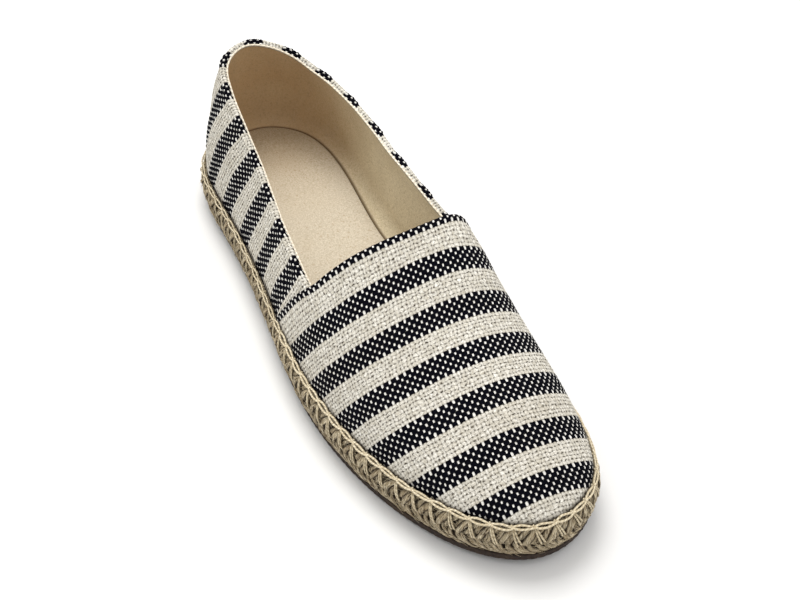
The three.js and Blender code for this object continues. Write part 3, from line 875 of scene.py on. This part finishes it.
lining = lining_material()
lu = np.linspace(-0.285, 0.285, 361)
lo, hi = np.full(len(lu), 0.02), np.full(len(lu), 0.995)
for _ in range(30):
    m = (lo + hi) / 2
    q = last(lu, m)
    over = q[:, 2] > collar_z(q[:, 0], q[:, 1]) - RIM
    lo, hi = np.where(over, lo, m), np.where(over, m, hi)
l_rise = (lo + hi) / 2
lv = np.linspace(0, 1, 34)
LR = l_rise[:, None] * (1 - lv[None]) ** 0.9
LUU = np.broadcast_to(lu[:, None], LR.shape)
LP = last(LUU, LR)
eps = 1.5e-3
LN = unit(np.cross(last(LUU + eps, LR) - last(LUU - eps, LR), last(LUU, LR + 0.004) - last(LUU, np.maximum(LR - 0.004, 0))))
if (LN[180, 4] * np.array([-1.0, 0, 0])).sum() < 0:
    LN = -LN
press = under_vamp(LP) * 0.8
ripple = 0.35 * noise2(LUU * 260, lv[None] * 9, 77, 4.0) * np.sin(np.pi * np.clip(lv, 0, 1))[None]
inside = LP - LN * (WALL + 0.25 + press + ripple)[..., None]
# cove: from a third of the way up the wall the lining swings in to the sock's edge
ex, ey = rim(lu, FEATHER_INSET + INSOLE_MARGIN - 0.15)
foot = np.stack([ex, ey, rope_top(ex) + GAP + INSOLE - 0.75], -1)
high = inside[..., 2] - (rope_top(inside[..., 0]) + GAP + INSOLE - 0.9)
COVE = 7.5
rows = []
for k in range(len(lu)):
    up = inside[k][high[k] > COVE]
    a = up[-1]
    b = foot[k]
    c = np.array([a[0] + (a[0] - up[-2][0]) * 0.6, a[1] + (a[1] - up[-2][1]) * 0.6, b[2] + 0.2])
    s = np.linspace(0, 1, 13)[1:, None]
    curve = (1 - s) ** 2 * a + 2 * s * (1 - s) * c + s**2 * b
    line = np.vstack([up, curve])
    arc = np.concatenate([[0], np.cumsum(np.linalg.norm(np.diff(line, axis=0), axis=1))])
    q = np.linspace(0, arc[-1], 44)
    rows.append(np.stack([np.interp(q, arc, line[:, d]) for d in range(3)], -1))
LG = np.array(rows)
arc_l = np.concatenate([np.zeros((len(lu), 1)), np.cumsum(np.linalg.norm(np.diff(LG, axis=1), axis=-1), axis=1)], 1)
along_l = np.concatenate([[0], np.cumsum(np.linalg.norm(np.diff(LG[:, 10], axis=0), axis=1))])[:, None] + np.zeros_like(arc_l)
lining_quarter = make("quarter_lining", LG, grid_faces(*LG.shape[:2], flip=True), lining,
                      {"Weave": np.stack([along_l / 0.7, arc_l / 0.7], -1), "OFBake": grid_uv(*LG.shape[:2]),
                       "Foot": np.stack([arc_l[:, -1:] - arc_l, 0 * arc_l], -1)})
li, lk = np.meshgrid(np.arange(lp.shape[1]) * STEP * LINING_STEP, np.arange(lp.shape[0]) * 1.46, indexing="xy")
lining_vamp = make("vamp_lining", lp, grid_faces(*lp.shape[:2], flip=True), lining,
                   {"Weave": np.stack([li / 0.7, lk / 0.7], -1), "OFBake": grid_uv(*lp.shape[:2]), "Foot": foot_uv(lp) + 1.0}, weld=True)


# cream edge line inside the collar
def thread_material(name, light, dark, twist=5.0, rough=0.6):
    n = Nodes(name)
    i, j = n.uv("Strand")
    f = n.math("FRACT", i)
    spiral = n.math("SINE", n.add(n.mul(j, twist), n.mul(f, 2 * math.pi)))
    fib = n.noise(n.vec(n.mul(i, 9.0), n.mul(j, 1.1)), 1.0, 3.0, 0.6)
    per = n.noise(n.vec(n.math("FLOOR", i), 4.3), 2.7, 0.0)
    c = n.mix(n.ramp(fib, 0.38, 0.60), dark, light)
    # painted shade in the grooves of the thread's twist
    c = n.mix(n.ramp(spiral, -1.0, -0.2, 0.5, 0.0), c, tuple(v * 0.55 for v in dark))
    # painted shade: the thread darkens down its sides
    side = n.math("ABSOLUTE", n.sub(f, 0.45))
    c = n.mix(n.ramp(side, 0.18, 0.42, 0.0, 0.8), c, tuple(v * 0.22 for v in dark))
    c = n.mix(n.ramp(per, 0.4, 0.7, 0.0, 0.25), c, tuple(v * 0.8 for v in dark))
    n.bump(n.add(n.mul(spiral, 0.5), n.mul(fib, 0.8)), 0.00016, 0.8)
    return n.finish(c, n.ramp(fib, 0.3, 0.7, rough + 0.12, rough - 0.1), specular=0.35)


edge_thread = thread_material("collar_edge_cord", srgb(250, 243, 228), srgb(226, 210, 182), twist=3.0)
pu = np.linspace(-0.262, 0.262, 520)
pr = np.interp(pu, fine, collar_rise)
PP = last(pu, pr)
PN = unit(np.cross(last(pu + eps, pr) - last(pu - eps, pr), last(pu, pr + 0.004) - last(pu, pr - 0.004)))
if (PN[260] * np.array([-1.0, 0, 0])).sum() < 0:
    PN = -PN
PB = unit(last(pu, pr + 0.01) - last(pu, pr - 0.01))
ang = math.radians(152)
piping_path = PP - PB * RIM * 0.6 - PN * RIM + (PN * math.cos(ang) + PB * math.sin(ang)) * (RIM + 0.05)
piping_path -= PN * (under_vamp(PP) - 0.0)[:, None]
piping_path += PN * (0.30 * noise1(np.interp(np.interp(pu, fine, collar_arc), along_collar(q_weft), q_weft), 17, 9.0))[:, None]
V, F, U1, U2 = tubes(piping_path[None], 0.46, 0.62, PB[None], around=10)
piping = make("collar_edge_line", V, F, edge_thread, {"Strand": U1, "OFBake": U2})


# ------------------------------------------------------------------ sock
def sock_material():
    n = Nodes("speckled_sock")
    p = n.place()
    speck = n.noise(p, 1700.0, 3.0, 0.75)
    fleck, _ = n.voronoi(p, 620.0)
    pick = n.noise(p, 300.0, 1.0)
    blot = n.noise(p, 40.0, 3.0)
    pore = n.noise(p, 3200.0, 1.0)
    c = n.mix(n.ramp(speck, 0.38, 0.64), srgb(187, 175, 153), srgb(211, 201, 183))
    fleckmask = n.mul(n.ramp(fleck, 0.10, 0.22, 1.0, 0.0), n.ramp(pick, 0.52, 0.62))
    dot = n.noise(p, 1100.0, 1.0)
    c = n.mix(n.ramp(dot, 0.60, 0.72, 0.0, 0.42), c, srgb(160, 132, 96))
    c = n.mix(n.mul(fleckmask, 0.50), c, srgb(148, 124, 92))
    c = n.mix(n.ramp(blot, 0.42, 0.72, 0.0, 0.22), c, srgb(198, 183, 157))
    sep = n.t.nodes.new("ShaderNodeSeparateXYZ")
    n.t.links.new(p, sep.inputs[0])
    c = n.mix(n.ramp(sep.outputs[0], -0.118, -0.055, 0.55, 0.0), c, srgb(196, 172, 134), "MULTIPLY")  # painted shade: darker heel, where the heel's walls shade the sock
    side = n.t.nodes.new("ShaderNodeNewGeometry")
    z = n.t.nodes.new("ShaderNodeSeparateXYZ")
    n.t.links.new(side.outputs["Normal"], z.inputs[0])
    c = n.mix(n.ramp(z.outputs[2], 0.35, 0.85, 0.85, 0.0), c, srgb(92, 66, 42))
    n.bump(n.add(n.mul(speck, 0.5), n.mul(pore, 0.35)), 0.00012, 0.6)
    return n.finish(c, n.ramp(speck, 0.3, 0.7, 0.82, 0.66), specular=0.25)


us = np.arange(420) / 420
SOCK = np.array([[0.0, 0.35, -1.9], [0.0, 0.0, -1.2], [0.0, 0.0, -0.55], [0.0, 0.12, -0.18], [0.0, 0.45, -0.02], [0.0, 1.1, 0.04]])  # -, inset, height
rings = []
for _, ins, dz in SOCK:
    x, y = rim(us, FEATHER_INSET + INSOLE_MARGIN + 0.15 + ins)
    rings.append(np.stack([x, y, rope_top(x) + GAP + INSOLE + dz], -1))
px, py = rim(us, FEATHER_INSET + INSOLE_MARGIN + 0.15 + 1.1)
cx = pole_x(px)
cy = ridge_y(cx)
for k in np.linspace(0.95, 0.02, 22):
    x = cx + (px - cx) * k
    y = cy + (py - cy) * k
    dish = -0.55 * (1 - k**2) * np.exp(-((x - 38) / 30) ** 2) - 0.45 * (1 - k**2) * np.exp(-((x - 185) / 34) ** 2)
    rings.append(np.stack([x, y, rope_top(x) + GAP + INSOLE + 0.04 + dish + 0.05 * noise2(x, y, 3, 9.0)], -1))
SV = np.array(rings)
SF = grid_faces(len(rings), len(us), wrap=True).tolist()


def strip(base, n, points):
    """Closes a long thin ring by a strip across it."""
    a, b, out = 1, n - 1, [[base, base + 1, base + n - 1]]
    while a + 1 < b:
        if points[a][0] < points[b][0]:
            out.append([base + a, base + a + 1, base + b])
            a += 1
        else:
            out.append([base + a, base + b - 1, base + b])
            b -= 1
    return out


SF += strip((len(rings) - 1) * len(us), len(us), SV[-1])
SF += [f[::-1] for f in strip(0, len(us), SV[0])]
sock = make("insole_sock", SV.reshape(-1, 3), SF, sock_material())


# ------------------------------------------------------------------ jute rope sole
def jute_material(name, light, mid, dark, fibre=1.0):
    n = Nodes(name)
    i, j = n.uv("Strand")
    f = n.math("FRACT", i)
    own = n.math("FLOOR", i)
    twist = n.add(n.mul(f, 7.0), n.mul(j, 0.55))
    fib = n.noise(n.vec(n.mul(twist, 1.15 * fibre), n.mul(j, 0.30), own), 1.0, 3.0, 0.7)
    fib2 = n.noise(n.vec(n.mul(twist, 2.9 * fibre), n.mul(j, 0.45), own), 1.0, 2.0, 0.6)
    per = n.noise(n.vec(own, 1.7), 3.3, 0.0)
    blot = n.noise(n.place(), 210.0, 2.0)
    c = n.mix(n.ramp(fib, 0.42, 0.54), dark, mid)
    c = n.mix(n.ramp(fib2, 0.50, 0.62, 0.0, 0.9), c, light)
    c = n.mix(n.ramp(fib2, 0.32, 0.44, 0.75, 0.0), c, dark)
    c = n.mix(n.ramp(per, 0.42, 0.66, 0.0, 0.35), c, srgb(138, 118, 88))
    c = n.mix(n.ramp(blot, 0.52, 0.72, 0.0, 0.25), c, srgb(206, 196, 168))
    # painted shade: each strand darkens to near black down its flanks, in the gaps between strands
    side = n.math("ABSOLUTE", n.sub(f, 0.45))
    c = n.mix(n.ramp(side, 0.13, 0.33, 0.0, 0.95), c, srgb(40, 28, 17))
    # painted shade: a strand is dark over its first mm or two, where it comes up from under the others
    c = n.mix(n.ramp(j, 0.4, 2.4, 0.85, 0.0), c, srgb(40, 28, 17))
    n.bump(n.add(n.mul(fib, 0.9), n.mul(fib2, 0.7)), 0.0007, 1.0)
    return n.finish(c, n.ramp(fib, 0.3, 0.7, 0.95, 0.75), specular=0.2)


jute = jute_material("plaited_jute", srgb(238, 226, 198), srgb(186, 169, 137), srgb(70, 53, 34))

rim_u = np.linspace(0, 1, 4001)
rx, ry = rim(rim_u, 0.0)
rim_arc = np.concatenate([[0], np.cumsum(np.hypot(np.diff(rx), np.diff(ry)))])
ROUND_LENGTH = rim_arc[-1]
STITCHES = int(round(ROUND_LENGTH / 7.75))
PITCH = ROUND_LENGTH / STITCHES

# the plait's side from its foot, round the wall, to under the canvas: inset and share of the height
BAND = np.array([[3.6, 0.035], [2.1, 0.03], [1.1, 0.09], [0.45, 0.20], [0.1, 0.34], [0.0, 0.50], [0.15, 0.64], [0.6, 0.78], [1.3, 0.90], [2.2, 0.97], [3.4, 0.985]])
band_len = np.concatenate([[0], np.cumsum(np.hypot(np.diff(BAND[:, 0]), np.diff(BAND[:, 1]) * 12.8))])
band_len /= band_len[-1]
band_in, band_at = smooth(band_len, BAND[:, 0]), smooth(band_len, BAND[:, 1])
FOOT_W, MID_W, TOP_W = band_len[1], band_len[5] - 0.05, band_len[-2]


def band(arc, w, depth=0.0):
    """Point of the rope's side at mm round it and share w up its profile, `depth` mm under the face; and the way out."""
    u = np.interp(np.mod(arc, ROUND_LENGTH), rim_arc, rim_u)

    def at(w, extra=0.0):
        x, y = rim(u, np.maximum(band_in(w), 0.0) + extra)
        return np.stack([x, y, rope_foot(x) + (rope_top(x) - rope_foot(x)) * band_at(w)], -1)
    p = at(w)
    up = at(w + 0.01) - at(w - 0.01)
    x0, y0 = rim(u - 4e-4, 0.0)
    x1, y1 = rim(u + 4e-4, 0.0)
    along = np.stack([x1 - x0, y1 - y0, np.zeros_like(x0)], -1)
    out = unit(np.cross(along, up))
    inward = np.stack([-(y1 - y0), (x1 - x0), np.zeros_like(x0)], -1)
    out = np.where(((out * inward).sum(-1) > 0)[..., None] & (np.abs(out[..., 2:3]) < 0.9), -out, out)
    return p - out * np.asarray(depth)[..., None], out


def strand_row(count, phase, w0, w1, run, wide, thick, seed, samples=22, around=14):
    """One row of the plait: strands that start deep at the middle and cross to an edge while running forward."""
    r = np.random.default_rng(seed)
    s = np.linspace(0, 1, samples)[None]
    a0 = (np.arange(count)[:, None] + phase) * ROUND_LENGTH / count + r.uniform(-0.42, 0.42, (count, 1))
    if w1 > w0:  # three yarns to a stitch: the middle one stands proud and the outer two draw to it
        third = np.mod(np.arange(count), 3)[:, None] - 1.0
        a0 = a0 - third * 0.30
        raise_mid = (0.85 * (1 - np.abs(third)) - 0.15) * np.sin(np.pi * s) ** 0.5
    else:
        raise_mid = 0.22 * r.uniform(-1, 1, (count, 1))
    bow = r.uniform(-0.5, 0.5, (count, 1))
    arc = a0 + run * (s - 0.16 * np.sin(np.pi * s)) + bow * np.sin(np.pi * s) + 0.15 * noise2(a0 + s * 9, s * 5, seed, 1.5)
    w = w0 + (w1 - w0) * s ** 0.95
    k = 1 + 0.14 * r.uniform(-1, 1, (count, 1))
    W, T = wide * k * (0.55 + 0.45 * np.sin(np.pi * (0.08 + 0.84 * s)) ** 0.6), thick * (0.6 + 0.4 * np.sin(np.pi * (0.1 + 0.8 * s)))
    T = np.broadcast_to(T, W.shape)
    pinch = np.zeros_like(arc)
    if w1 > w0:  # the blanket stitch's legs pull the upper row in
        leg = (arc - leg_start(w)) / PITCH
        pinch = 1.35 * np.exp(-(((leg - np.round(leg)) * PITCH) / 0.95) ** 2)
    depth = T * 0.70 + 2.2 * np.exp(-s / 0.10) + 0.9 * np.exp(-(1 - s) / 0.07) + pinch + 0.16 * r.uniform(-1, 1, (count, 1)) - raise_mid
    P, N = band(arc, np.clip(w, 0.0, 1.0), depth)
    phi = np.arange(around) / around * 2 * np.pi
    twist = 3 * phi[None, None] + 7.0 * s[..., None] + r.uniform(0, 6.28, (count, 1, 1))
    ridges = 0.15 * np.cos(twist) + 0.05 * np.cos(5 * phi[None, None] - 9 * s[..., None] + r.uniform(0, 6.28, (count, 1, 1)))
    return tubes(P, W, T, N, around, ridges)


LEG_RUN = 3.2  # mm a leg runs forward on its way down


def leg_start(w):
    """mm forward of its node where a leg crosses height w."""
    return LEG_RUN * np.clip((TOP_W - w) / (TOP_W - MID_W), 0, 1.3)


ROPE_STRANDS = STITCHES * 3
V1, F1, S1, B1 = strand_row(ROPE_STRANDS, 0.55, MID_W - 0.035, TOP_W + 0.05, 5.6, 1.34, 1.12, 101)
upper_row = make("jute_plait_upper_row", V1, F1, jute, {"Strand": S1, "OFBake": B1})
V2, F2, S2, B2 = strand_row(ROPE_STRANDS, 0.25, MID_W + 0.045, FOOT_W + 0.01, 6.4, 1.26, 1.06, 102)
lower_row = make("jute_plait_lower_row", V2, F2, jute, {"Strand": S2, "OFBake": B2})

# the pressed rope inside; its colours are darkened as painted shade, for the rope seen deep between the strands
core_mat = jute_material("jute_core", srgb(110, 90, 62), srgb(74, 56, 36), srgb(34, 24, 14), fibre=1.6)
cu = np.arange(480) / 480
CORE = np.array([[2.6, 0.0], [2.2, 0.0], [1.9, 0.06], [1.7, 0.25], [1.6, 0.5], [1.9, 0.8], [2.4, 0.93], [3.2, 0.955]])  # inset, share of the height
rings = []
for ins, h in CORE:
    x, y = rim(cu, ins)
    rings.append(np.stack([x, y, rope_foot(x) + (rope_top(x) - rope_foot(x)) * h + 0.02], -1))
px, py = rim(cu, 3.2)
cx = pole_x(px)
cy = ridge_y(cx)
for k in (0.9, 0.7, 0.5, 0.3, 0.1):
    x = cx + (px - cx) * k
    rings.append(np.stack([x, cy + (py - cy) * k, rope_top(x) - 0.1 + 0 * x], -1))
CV = np.array(rings)
CF = grid_faces(len(rings), len(cu), wrap=True).tolist() + strip((len(rings) - 1) * len(cu), len(cu), CV[-1])
CF += [f[::-1] for f in strip(0, len(cu), CV[0])]
cuv = np.stack([np.broadcast_to(np.arange(len(rings))[:, None] * 0.9, CV.shape[:2]), np.broadcast_to((cu * ROUND_LENGTH)[None], CV.shape[:2])], -1)
core = make("jute_core", CV.reshape(-1, 3), CF, core_mat, {"Strand": cuv})

# ------------------------------------------------------------------ blanket stitch
waxed = thread_material("waxed_jute_thread", srgb(246, 236, 210), srgb(196, 176, 138), twist=4.2, rough=0.5)
node_arc = np.arange(STITCHES) * PITCH
TH = 0.46


def feather_point(arc, up, out):
    """Point on the canvas's foot, `up` mm above the rope's top and `out` mm off the cloth."""
    u = np.interp(np.mod(arc, ROUND_LENGTH), rim_arc, rim_u)
    x = rim(u, FEATHER_INSET)[0]
    # climb the wall to the asked height
    lo, hi = np.zeros_like(u), np.full_like(u, 0.5)
    want = rope_top(x) + np.maximum(up, 0.01)
    for _ in range(22):
        m = (lo + hi) / 2
        over = last(u, m)[..., 2] > want
        lo, hi = np.where(over, lo, m), np.where(over, m, hi)
    p = last(u, (lo + hi) / 2)
    x0, y0 = rim(u - 4e-4, 0.0)
    x1, y1 = rim(u + 4e-4, 0.0)
    n = unit(np.stack([(y1 - y0), -(x1 - x0), np.zeros_like(x0)], -1))
    p = p + n * np.asarray(out)[..., None]
    p[..., 2] = np.where(up < 0, rope_top(x) + up, p[..., 2])
    return p, n


def on_vamp(arc):
    """1 round the vamp, where the thread is thick and lies open, and 0 round the quarter, where it is drawn in."""
    x = rim(np.interp(np.mod(arc, ROUND_LENGTH), rim_arc, rim_u), 0.0)[0]
    q = np.clip((x - 112) / 26, 0, 1)
    return q * q * (3 - 2 * q)


def stitch_paths():
    s = np.linspace(0, 1, 17)[None]
    r = np.random.default_rng(21)
    k = np.arange(STITCHES)[:, None]
    jit = r.uniform(-0.35, 0.35, (STITCHES + 1, 1))
    jit[-1] = jit[0]
    a0, a1 = node_arc[:, None] + jit[:-1], node_arc[:, None] + PITCH + jit[1:]
    arc = a0 - 0.5 + (a1 - a0 + 1.0) * s
    open_ = 0.45 + 0.45 * r.uniform(-1, 1, (STITCHES, 1))
    wide_open = 0.62 + 0.38 * r.uniform(-1, 1, (STITCHES, 1))

    def taut(peak):  # a pulled thread: nearly straight to its widest place and straight back
        t = np.minimum(s / peak, (1 - s) / (1 - peak))
        return t * (1.6 - 0.6 * t)

    peak1, peak2 = 0.42 + 0.20 * r.uniform(-1, 1, (STITCHES, 1)), 0.60 + 0.20 * r.uniform(-1, 1, (STITCHES, 1))
    # upper thread: bows up on the cloth, and dips into it past the far node
    up1 = 0.80 + (0.55 + 0.75 * open_) * taut(peak1) - 0.40 * s
    out1 = 1.10 - 0.25 * np.sin(np.pi * s) - 1.1 * np.exp(-(1 - s) / 0.05)
    vamp_share = on_vamp(arc)
    up1, out1 = up1 - 0.45 * (1 - vamp_share), out1 + 0.30 * (1 - vamp_share)
    p1, n1 = feather_point(arc, up1, out1)
    # lower thread: along the rope's shoulder, over the near node
    up2 = 0.95 - wide_open * taut(peak2)
    out2 = 1.35 + 0.35 * np.sin(np.pi * s) - 1.0 * np.exp(-s / 0.05)
    up2, out2 = up2 - 0.25 * (1 - vamp_share), out2 + 0.35 * (1 - vamp_share)
    p2, n2 = feather_point(arc, up2, out2)
    return p1, n1, p2, n2, TH * (0.70 + 0.30 * vamp_share)


p1, n1, p2, n2, edge_wide = stitch_paths()
edge_wide = np.vstack([edge_wide, edge_wide])
up = np.zeros_like(n1) + np.array([0, 0, 0.7])
V3, F3, S3, B3 = tubes(np.concatenate([p1, p2]), edge_wide, edge_wide * 0.9, unit(np.concatenate([n1 + up, n2 + up])), around=8)
edge_stitch = make("blanket_stitch_edge", V3, F3, waxed, {"Strand": S3, "OFBake": B3})

s = np.linspace(0, 1, 20)[None]
r = np.random.default_rng(23)
legs = []
for off, seed in ((-0.42, 1), (0.42, 2)):
    w = (TOP_W + 0.02) + (MID_W - 0.01 + 0.05 * r.uniform(-1, 1, (STITCHES, 1)) - TOP_W) * s
    spread = off * (0.7 + 0.9 * s) + 0.25 * r.uniform(-1, 1, (STITCHES, 1)) * s
    arc = node_arc[:, None] + LEG_RUN * s ** 1.1 + spread
    open_side = on_vamp(arc)
    depth = -0.50 - 0.15 * np.sin(np.pi * s) + 1.9 * np.exp(-(1 - s) / 0.07) + 0.5 * np.exp(-s / 0.05) + 0.30 * (1 - open_side)
    P, N = band(arc, w, depth)
    legs.append((P, N, TH * (0.60 + 0.40 * open_side)))
leg_wide = np.concatenate([c for _, _, c in legs])
V4, F4, S4, B4 = tubes(np.concatenate([a for a, _, _ in legs]), leg_wide * 0.86, leg_wide * 0.8, np.concatenate([b for _, b, _ in legs]), around=8)
# painted shade: the legs get a darker copy of the stitch thread, for legs lying down the rope's side
leg_thread = thread_material("waxed_jute_leg", srgb(240, 228, 198), srgb(168, 148, 112), twist=4.2, rough=0.5)
leg_stitch = make("blanket_stitch_legs", V4, F4, leg_thread, {"Strand": S4, "OFBake": B4})

# ------------------------------------------------------------------ loose fibres
hair = thread_material("loose_fibre", srgb(240, 226, 194), srgb(190, 168, 128), twist=0.0)
r = np.random.default_rng(31)
HAIRS = 1500
s = np.linspace(0, 1, 9)[None]
a0 = r.uniform(0, ROUND_LENGTH, (HAIRS, 1))
w0 = r.uniform(FOOT_W + 0.02, TOP_W, (HAIRS, 1))
long = r.uniform(2.0, 8.5, (HAIRS, 1))
head = r.uniform(-0.9, 0.9, (HAIRS, 1))
lift_off = np.where(r.uniform(0, 1, (HAIRS, 1)) < 0.13, r.uniform(0.4, 1.3, (HAIRS, 1)), r.uniform(0.0, 0.25, (HAIRS, 1)))
curl = r.uniform(-1.2, 1.2, (HAIRS, 1))
arc = a0 + long * (s - 0.5) * np.cos(head) + curl * np.sin(np.pi * s)
w = np.clip(w0 + long * (s - 0.5) * np.sin(head) / 20 + 0.02 * curl * s, FOOT_W, 0.97)
depth = -0.10 - lift_off * s**1.5 + 0.5 * np.exp(-s / 0.08)
P, N = band(arc, w, depth)
P[..., 2] = np.maximum(P[..., 2], 0.35)
V5, F5, S5, B5 = tubes(P, 0.085 * (1 - 0.5 * s), 0.085 * (1 - 0.5 * s), N, around=4)
hairs = make("loose_jute_fibres", V5, F5, hair, {"Strand": S5, "OFBake": B5})


# ------------------------------------------------------------------ rubber outsole
def rubber_material():
    n = Nodes("outsole_rubber")
    p = n.place()
    grain = n.noise(p, 900.0, 3.0, 0.6)
    dust = n.noise(p, 90.0, 3.0)
    c = n.mix(n.ramp(grain, 0.35, 0.7), srgb(36, 27, 22), srgb(58, 45, 36))
    c = n.mix(n.ramp(dust, 0.5, 0.75, 0.0, 0.26), c, srgb(96, 80, 63))
    n.bump(grain, 0.0002, 0.7)
    return n.finish(c, n.ramp(dust, 0.3, 0.7, 0.62, 0.85), specular=0.3)


rubber = rubber_material()
ou = np.arange(520) / 520
OUT = np.array([[2.6, 0.0], [1.9, 0.10], [1.5, 0.55], [1.35, 1.2], [1.35, 1.7], [1.45, 2.2], [1.2, 2.7], [1.35, 3.15], [1.9, 3.28]])  # inset, height above the foot
rings = []
for ins, dz in OUT:
    rib = 0.10 * np.sin(ou * ROUND_LENGTH / 1.7 * 2 * np.pi) if 0.3 < dz < 2.3 else 0.0
    x, y = rim(ou, ins + rib)
    rings.append(np.stack([x, y, lift(x) + arch(x) + dz], -1))
top_ring = len(rings)
px, py = rim(ou, 1.9)
cx = pole_x(px)
cy = ridge_y(cx)
for k in (0.9, 0.5, 0.1):
    x = cx + (px - cx) * k
    rings.append(np.stack([x, cy + (py - cy) * k, lift(x) + arch(x) + OUTSOLE], -1))
under = []
px, py = rim(ou, 2.6)
for k in np.linspace(0.04, 0.985, 46):
    x = cx + (px - cx) * k
    y = cy + (py - cy) * k
    tread = 0.45 * np.clip(np.sin(x / 5.2 * 2 * np.pi + 1.2 * np.sin(y / 6.0)) * 2.2, 0, 1) * (1 if k < 0.93 else 0)
    under.append(np.stack([x, y, lift(x) + arch(x) + tread], -1))
rings = under + rings
OV = np.array(rings)
OF = grid_faces(len(rings), len(ou), wrap=True).tolist() + strip((len(rings) - 1) * len(ou), len(ou), OV[-1])
OF += [f[::-1] for f in strip(0, len(ou), OV[0])]
outsole = make("rubber_outsole", OV.reshape(-1, 3), OF, rubber)

# ------------------------------------------------------------------ ties to the frame
for o in (vamp, quarter, lining_quarter, lining_vamp, piping, sock, upper_row, lower_row, core, edge_stitch, leg_stitch, hairs, outsole):
    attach(o, "root")
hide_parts("upper")
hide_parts("upper")
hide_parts("midsole")
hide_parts("midsole")
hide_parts("insole")
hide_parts("outsole")


# ------------------------------------------------------------------ floor, light, camera
def floor_material():
    n = Nodes("white_floor")
    p = n.place()
    c = n.mix(n.ramp(n.noise(p, 3.0, 2.0), 0.3, 0.7), srgb(229, 229, 229), srgb(232, 232, 231))
    return n.finish(c, 0.85, specular=0.1)


bpy.ops.mesh.primitive_plane_add(size=12, location=(0, 0, 0))
floor = bpy.context.active_object
floor.name = "floor"
floor.data.materials.append(floor_material())
floor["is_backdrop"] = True

world = bpy.data.worlds.new("studio")
bpy.context.scene.world = world
world.use_nodes = True
world.node_tree.nodes["Background"].inputs[0].default_value = (1.0, 0.99, 0.975, 1)
world.node_tree.nodes["Background"].inputs[1].default_value = 0.80


def area(name, where, to, size, power, color=(1, 1, 1)):
    d = bpy.data.lights.new(name, "AREA")
    d.shape, d.size, d.energy, d.color = "SQUARE", size, power, color
    o = bpy.data.objects.new(name, d)
    bpy.context.scene.collection.objects.link(o)
    o.location = where
    o.rotation_mode = "QUATERNION"
    o.rotation_quaternion = (Vector(to) - Vector(where)).to_track_quat("-Z", "Y")
    return o


area("key", (-0.55, 0.12, 1.45), (0.0, 0.0, 0.02), 0.8, 15.3, (1.0, 0.99, 0.97))
area("fill", (0.9, 0.3, 1.4), (0.0, 0.0, 0.02), 1.4, 5.0)
area("back", (-1.2, -0.6, 1.0), (0.0, 0.0, 0.03), 1.1, 4.8)

# The camera stands where the view was solved: mm from the heel tip, its roll small.
STAND = np.array([541.8, -198.7, 449.7])
RIGHT, UP = Vector((0.5042, 0.861, 0.0663)), Vector((-0.5968, 0.2919, 0.7474))
BACK = RIGHT.cross(UP).normalized()
UP = BACK.cross(RIGHT).normalized()
RIGHT = UP.cross(BACK).normalized()
stand = Vector(((STAND + SHIFT) / 1000).tolist())
LENS = 1376 / 800 * 36 * 1.20

points = np.array([(o.matrix_world @ v.co)[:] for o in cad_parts.values() for v in o.data.vertices])
R = Matrix((RIGHT, UP, BACK)).transposed()
for _ in range(6):  # turn the camera until the shoe is in the middle of the frame
    local = (points - np.array(stand)) @ np.array(R)
    px, py = -local[:, 0] / local[:, 2], -local[:, 1] / local[:, 2]
    mx, my = (px.min() + px.max()) / 2, (py.min() + py.max()) / 2
    aim = R @ Vector((mx, my, -1)).normalized()
    back = -aim
    right = UP.cross(back).normalized()
    R = Matrix((right, back.cross(right).normalized(), back)).transposed()
camera_data = bpy.data.cameras.new("camera")
camera = bpy.data.objects.new("camera", camera_data)
bpy.context.scene.collection.objects.link(camera)
camera_data.sensor_width, camera_data.lens = 36.0, LENS
camera_data.clip_start, camera_data.clip_end = 0.01, 50.0
camera.matrix_world = Matrix.Translation(stand) @ R.to_4x4()
bpy.context.scene.camera = camera
bpy.context.scene.view_settings.view_transform = "Standard"

bpy.context.view_layer.update()
lo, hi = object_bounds()
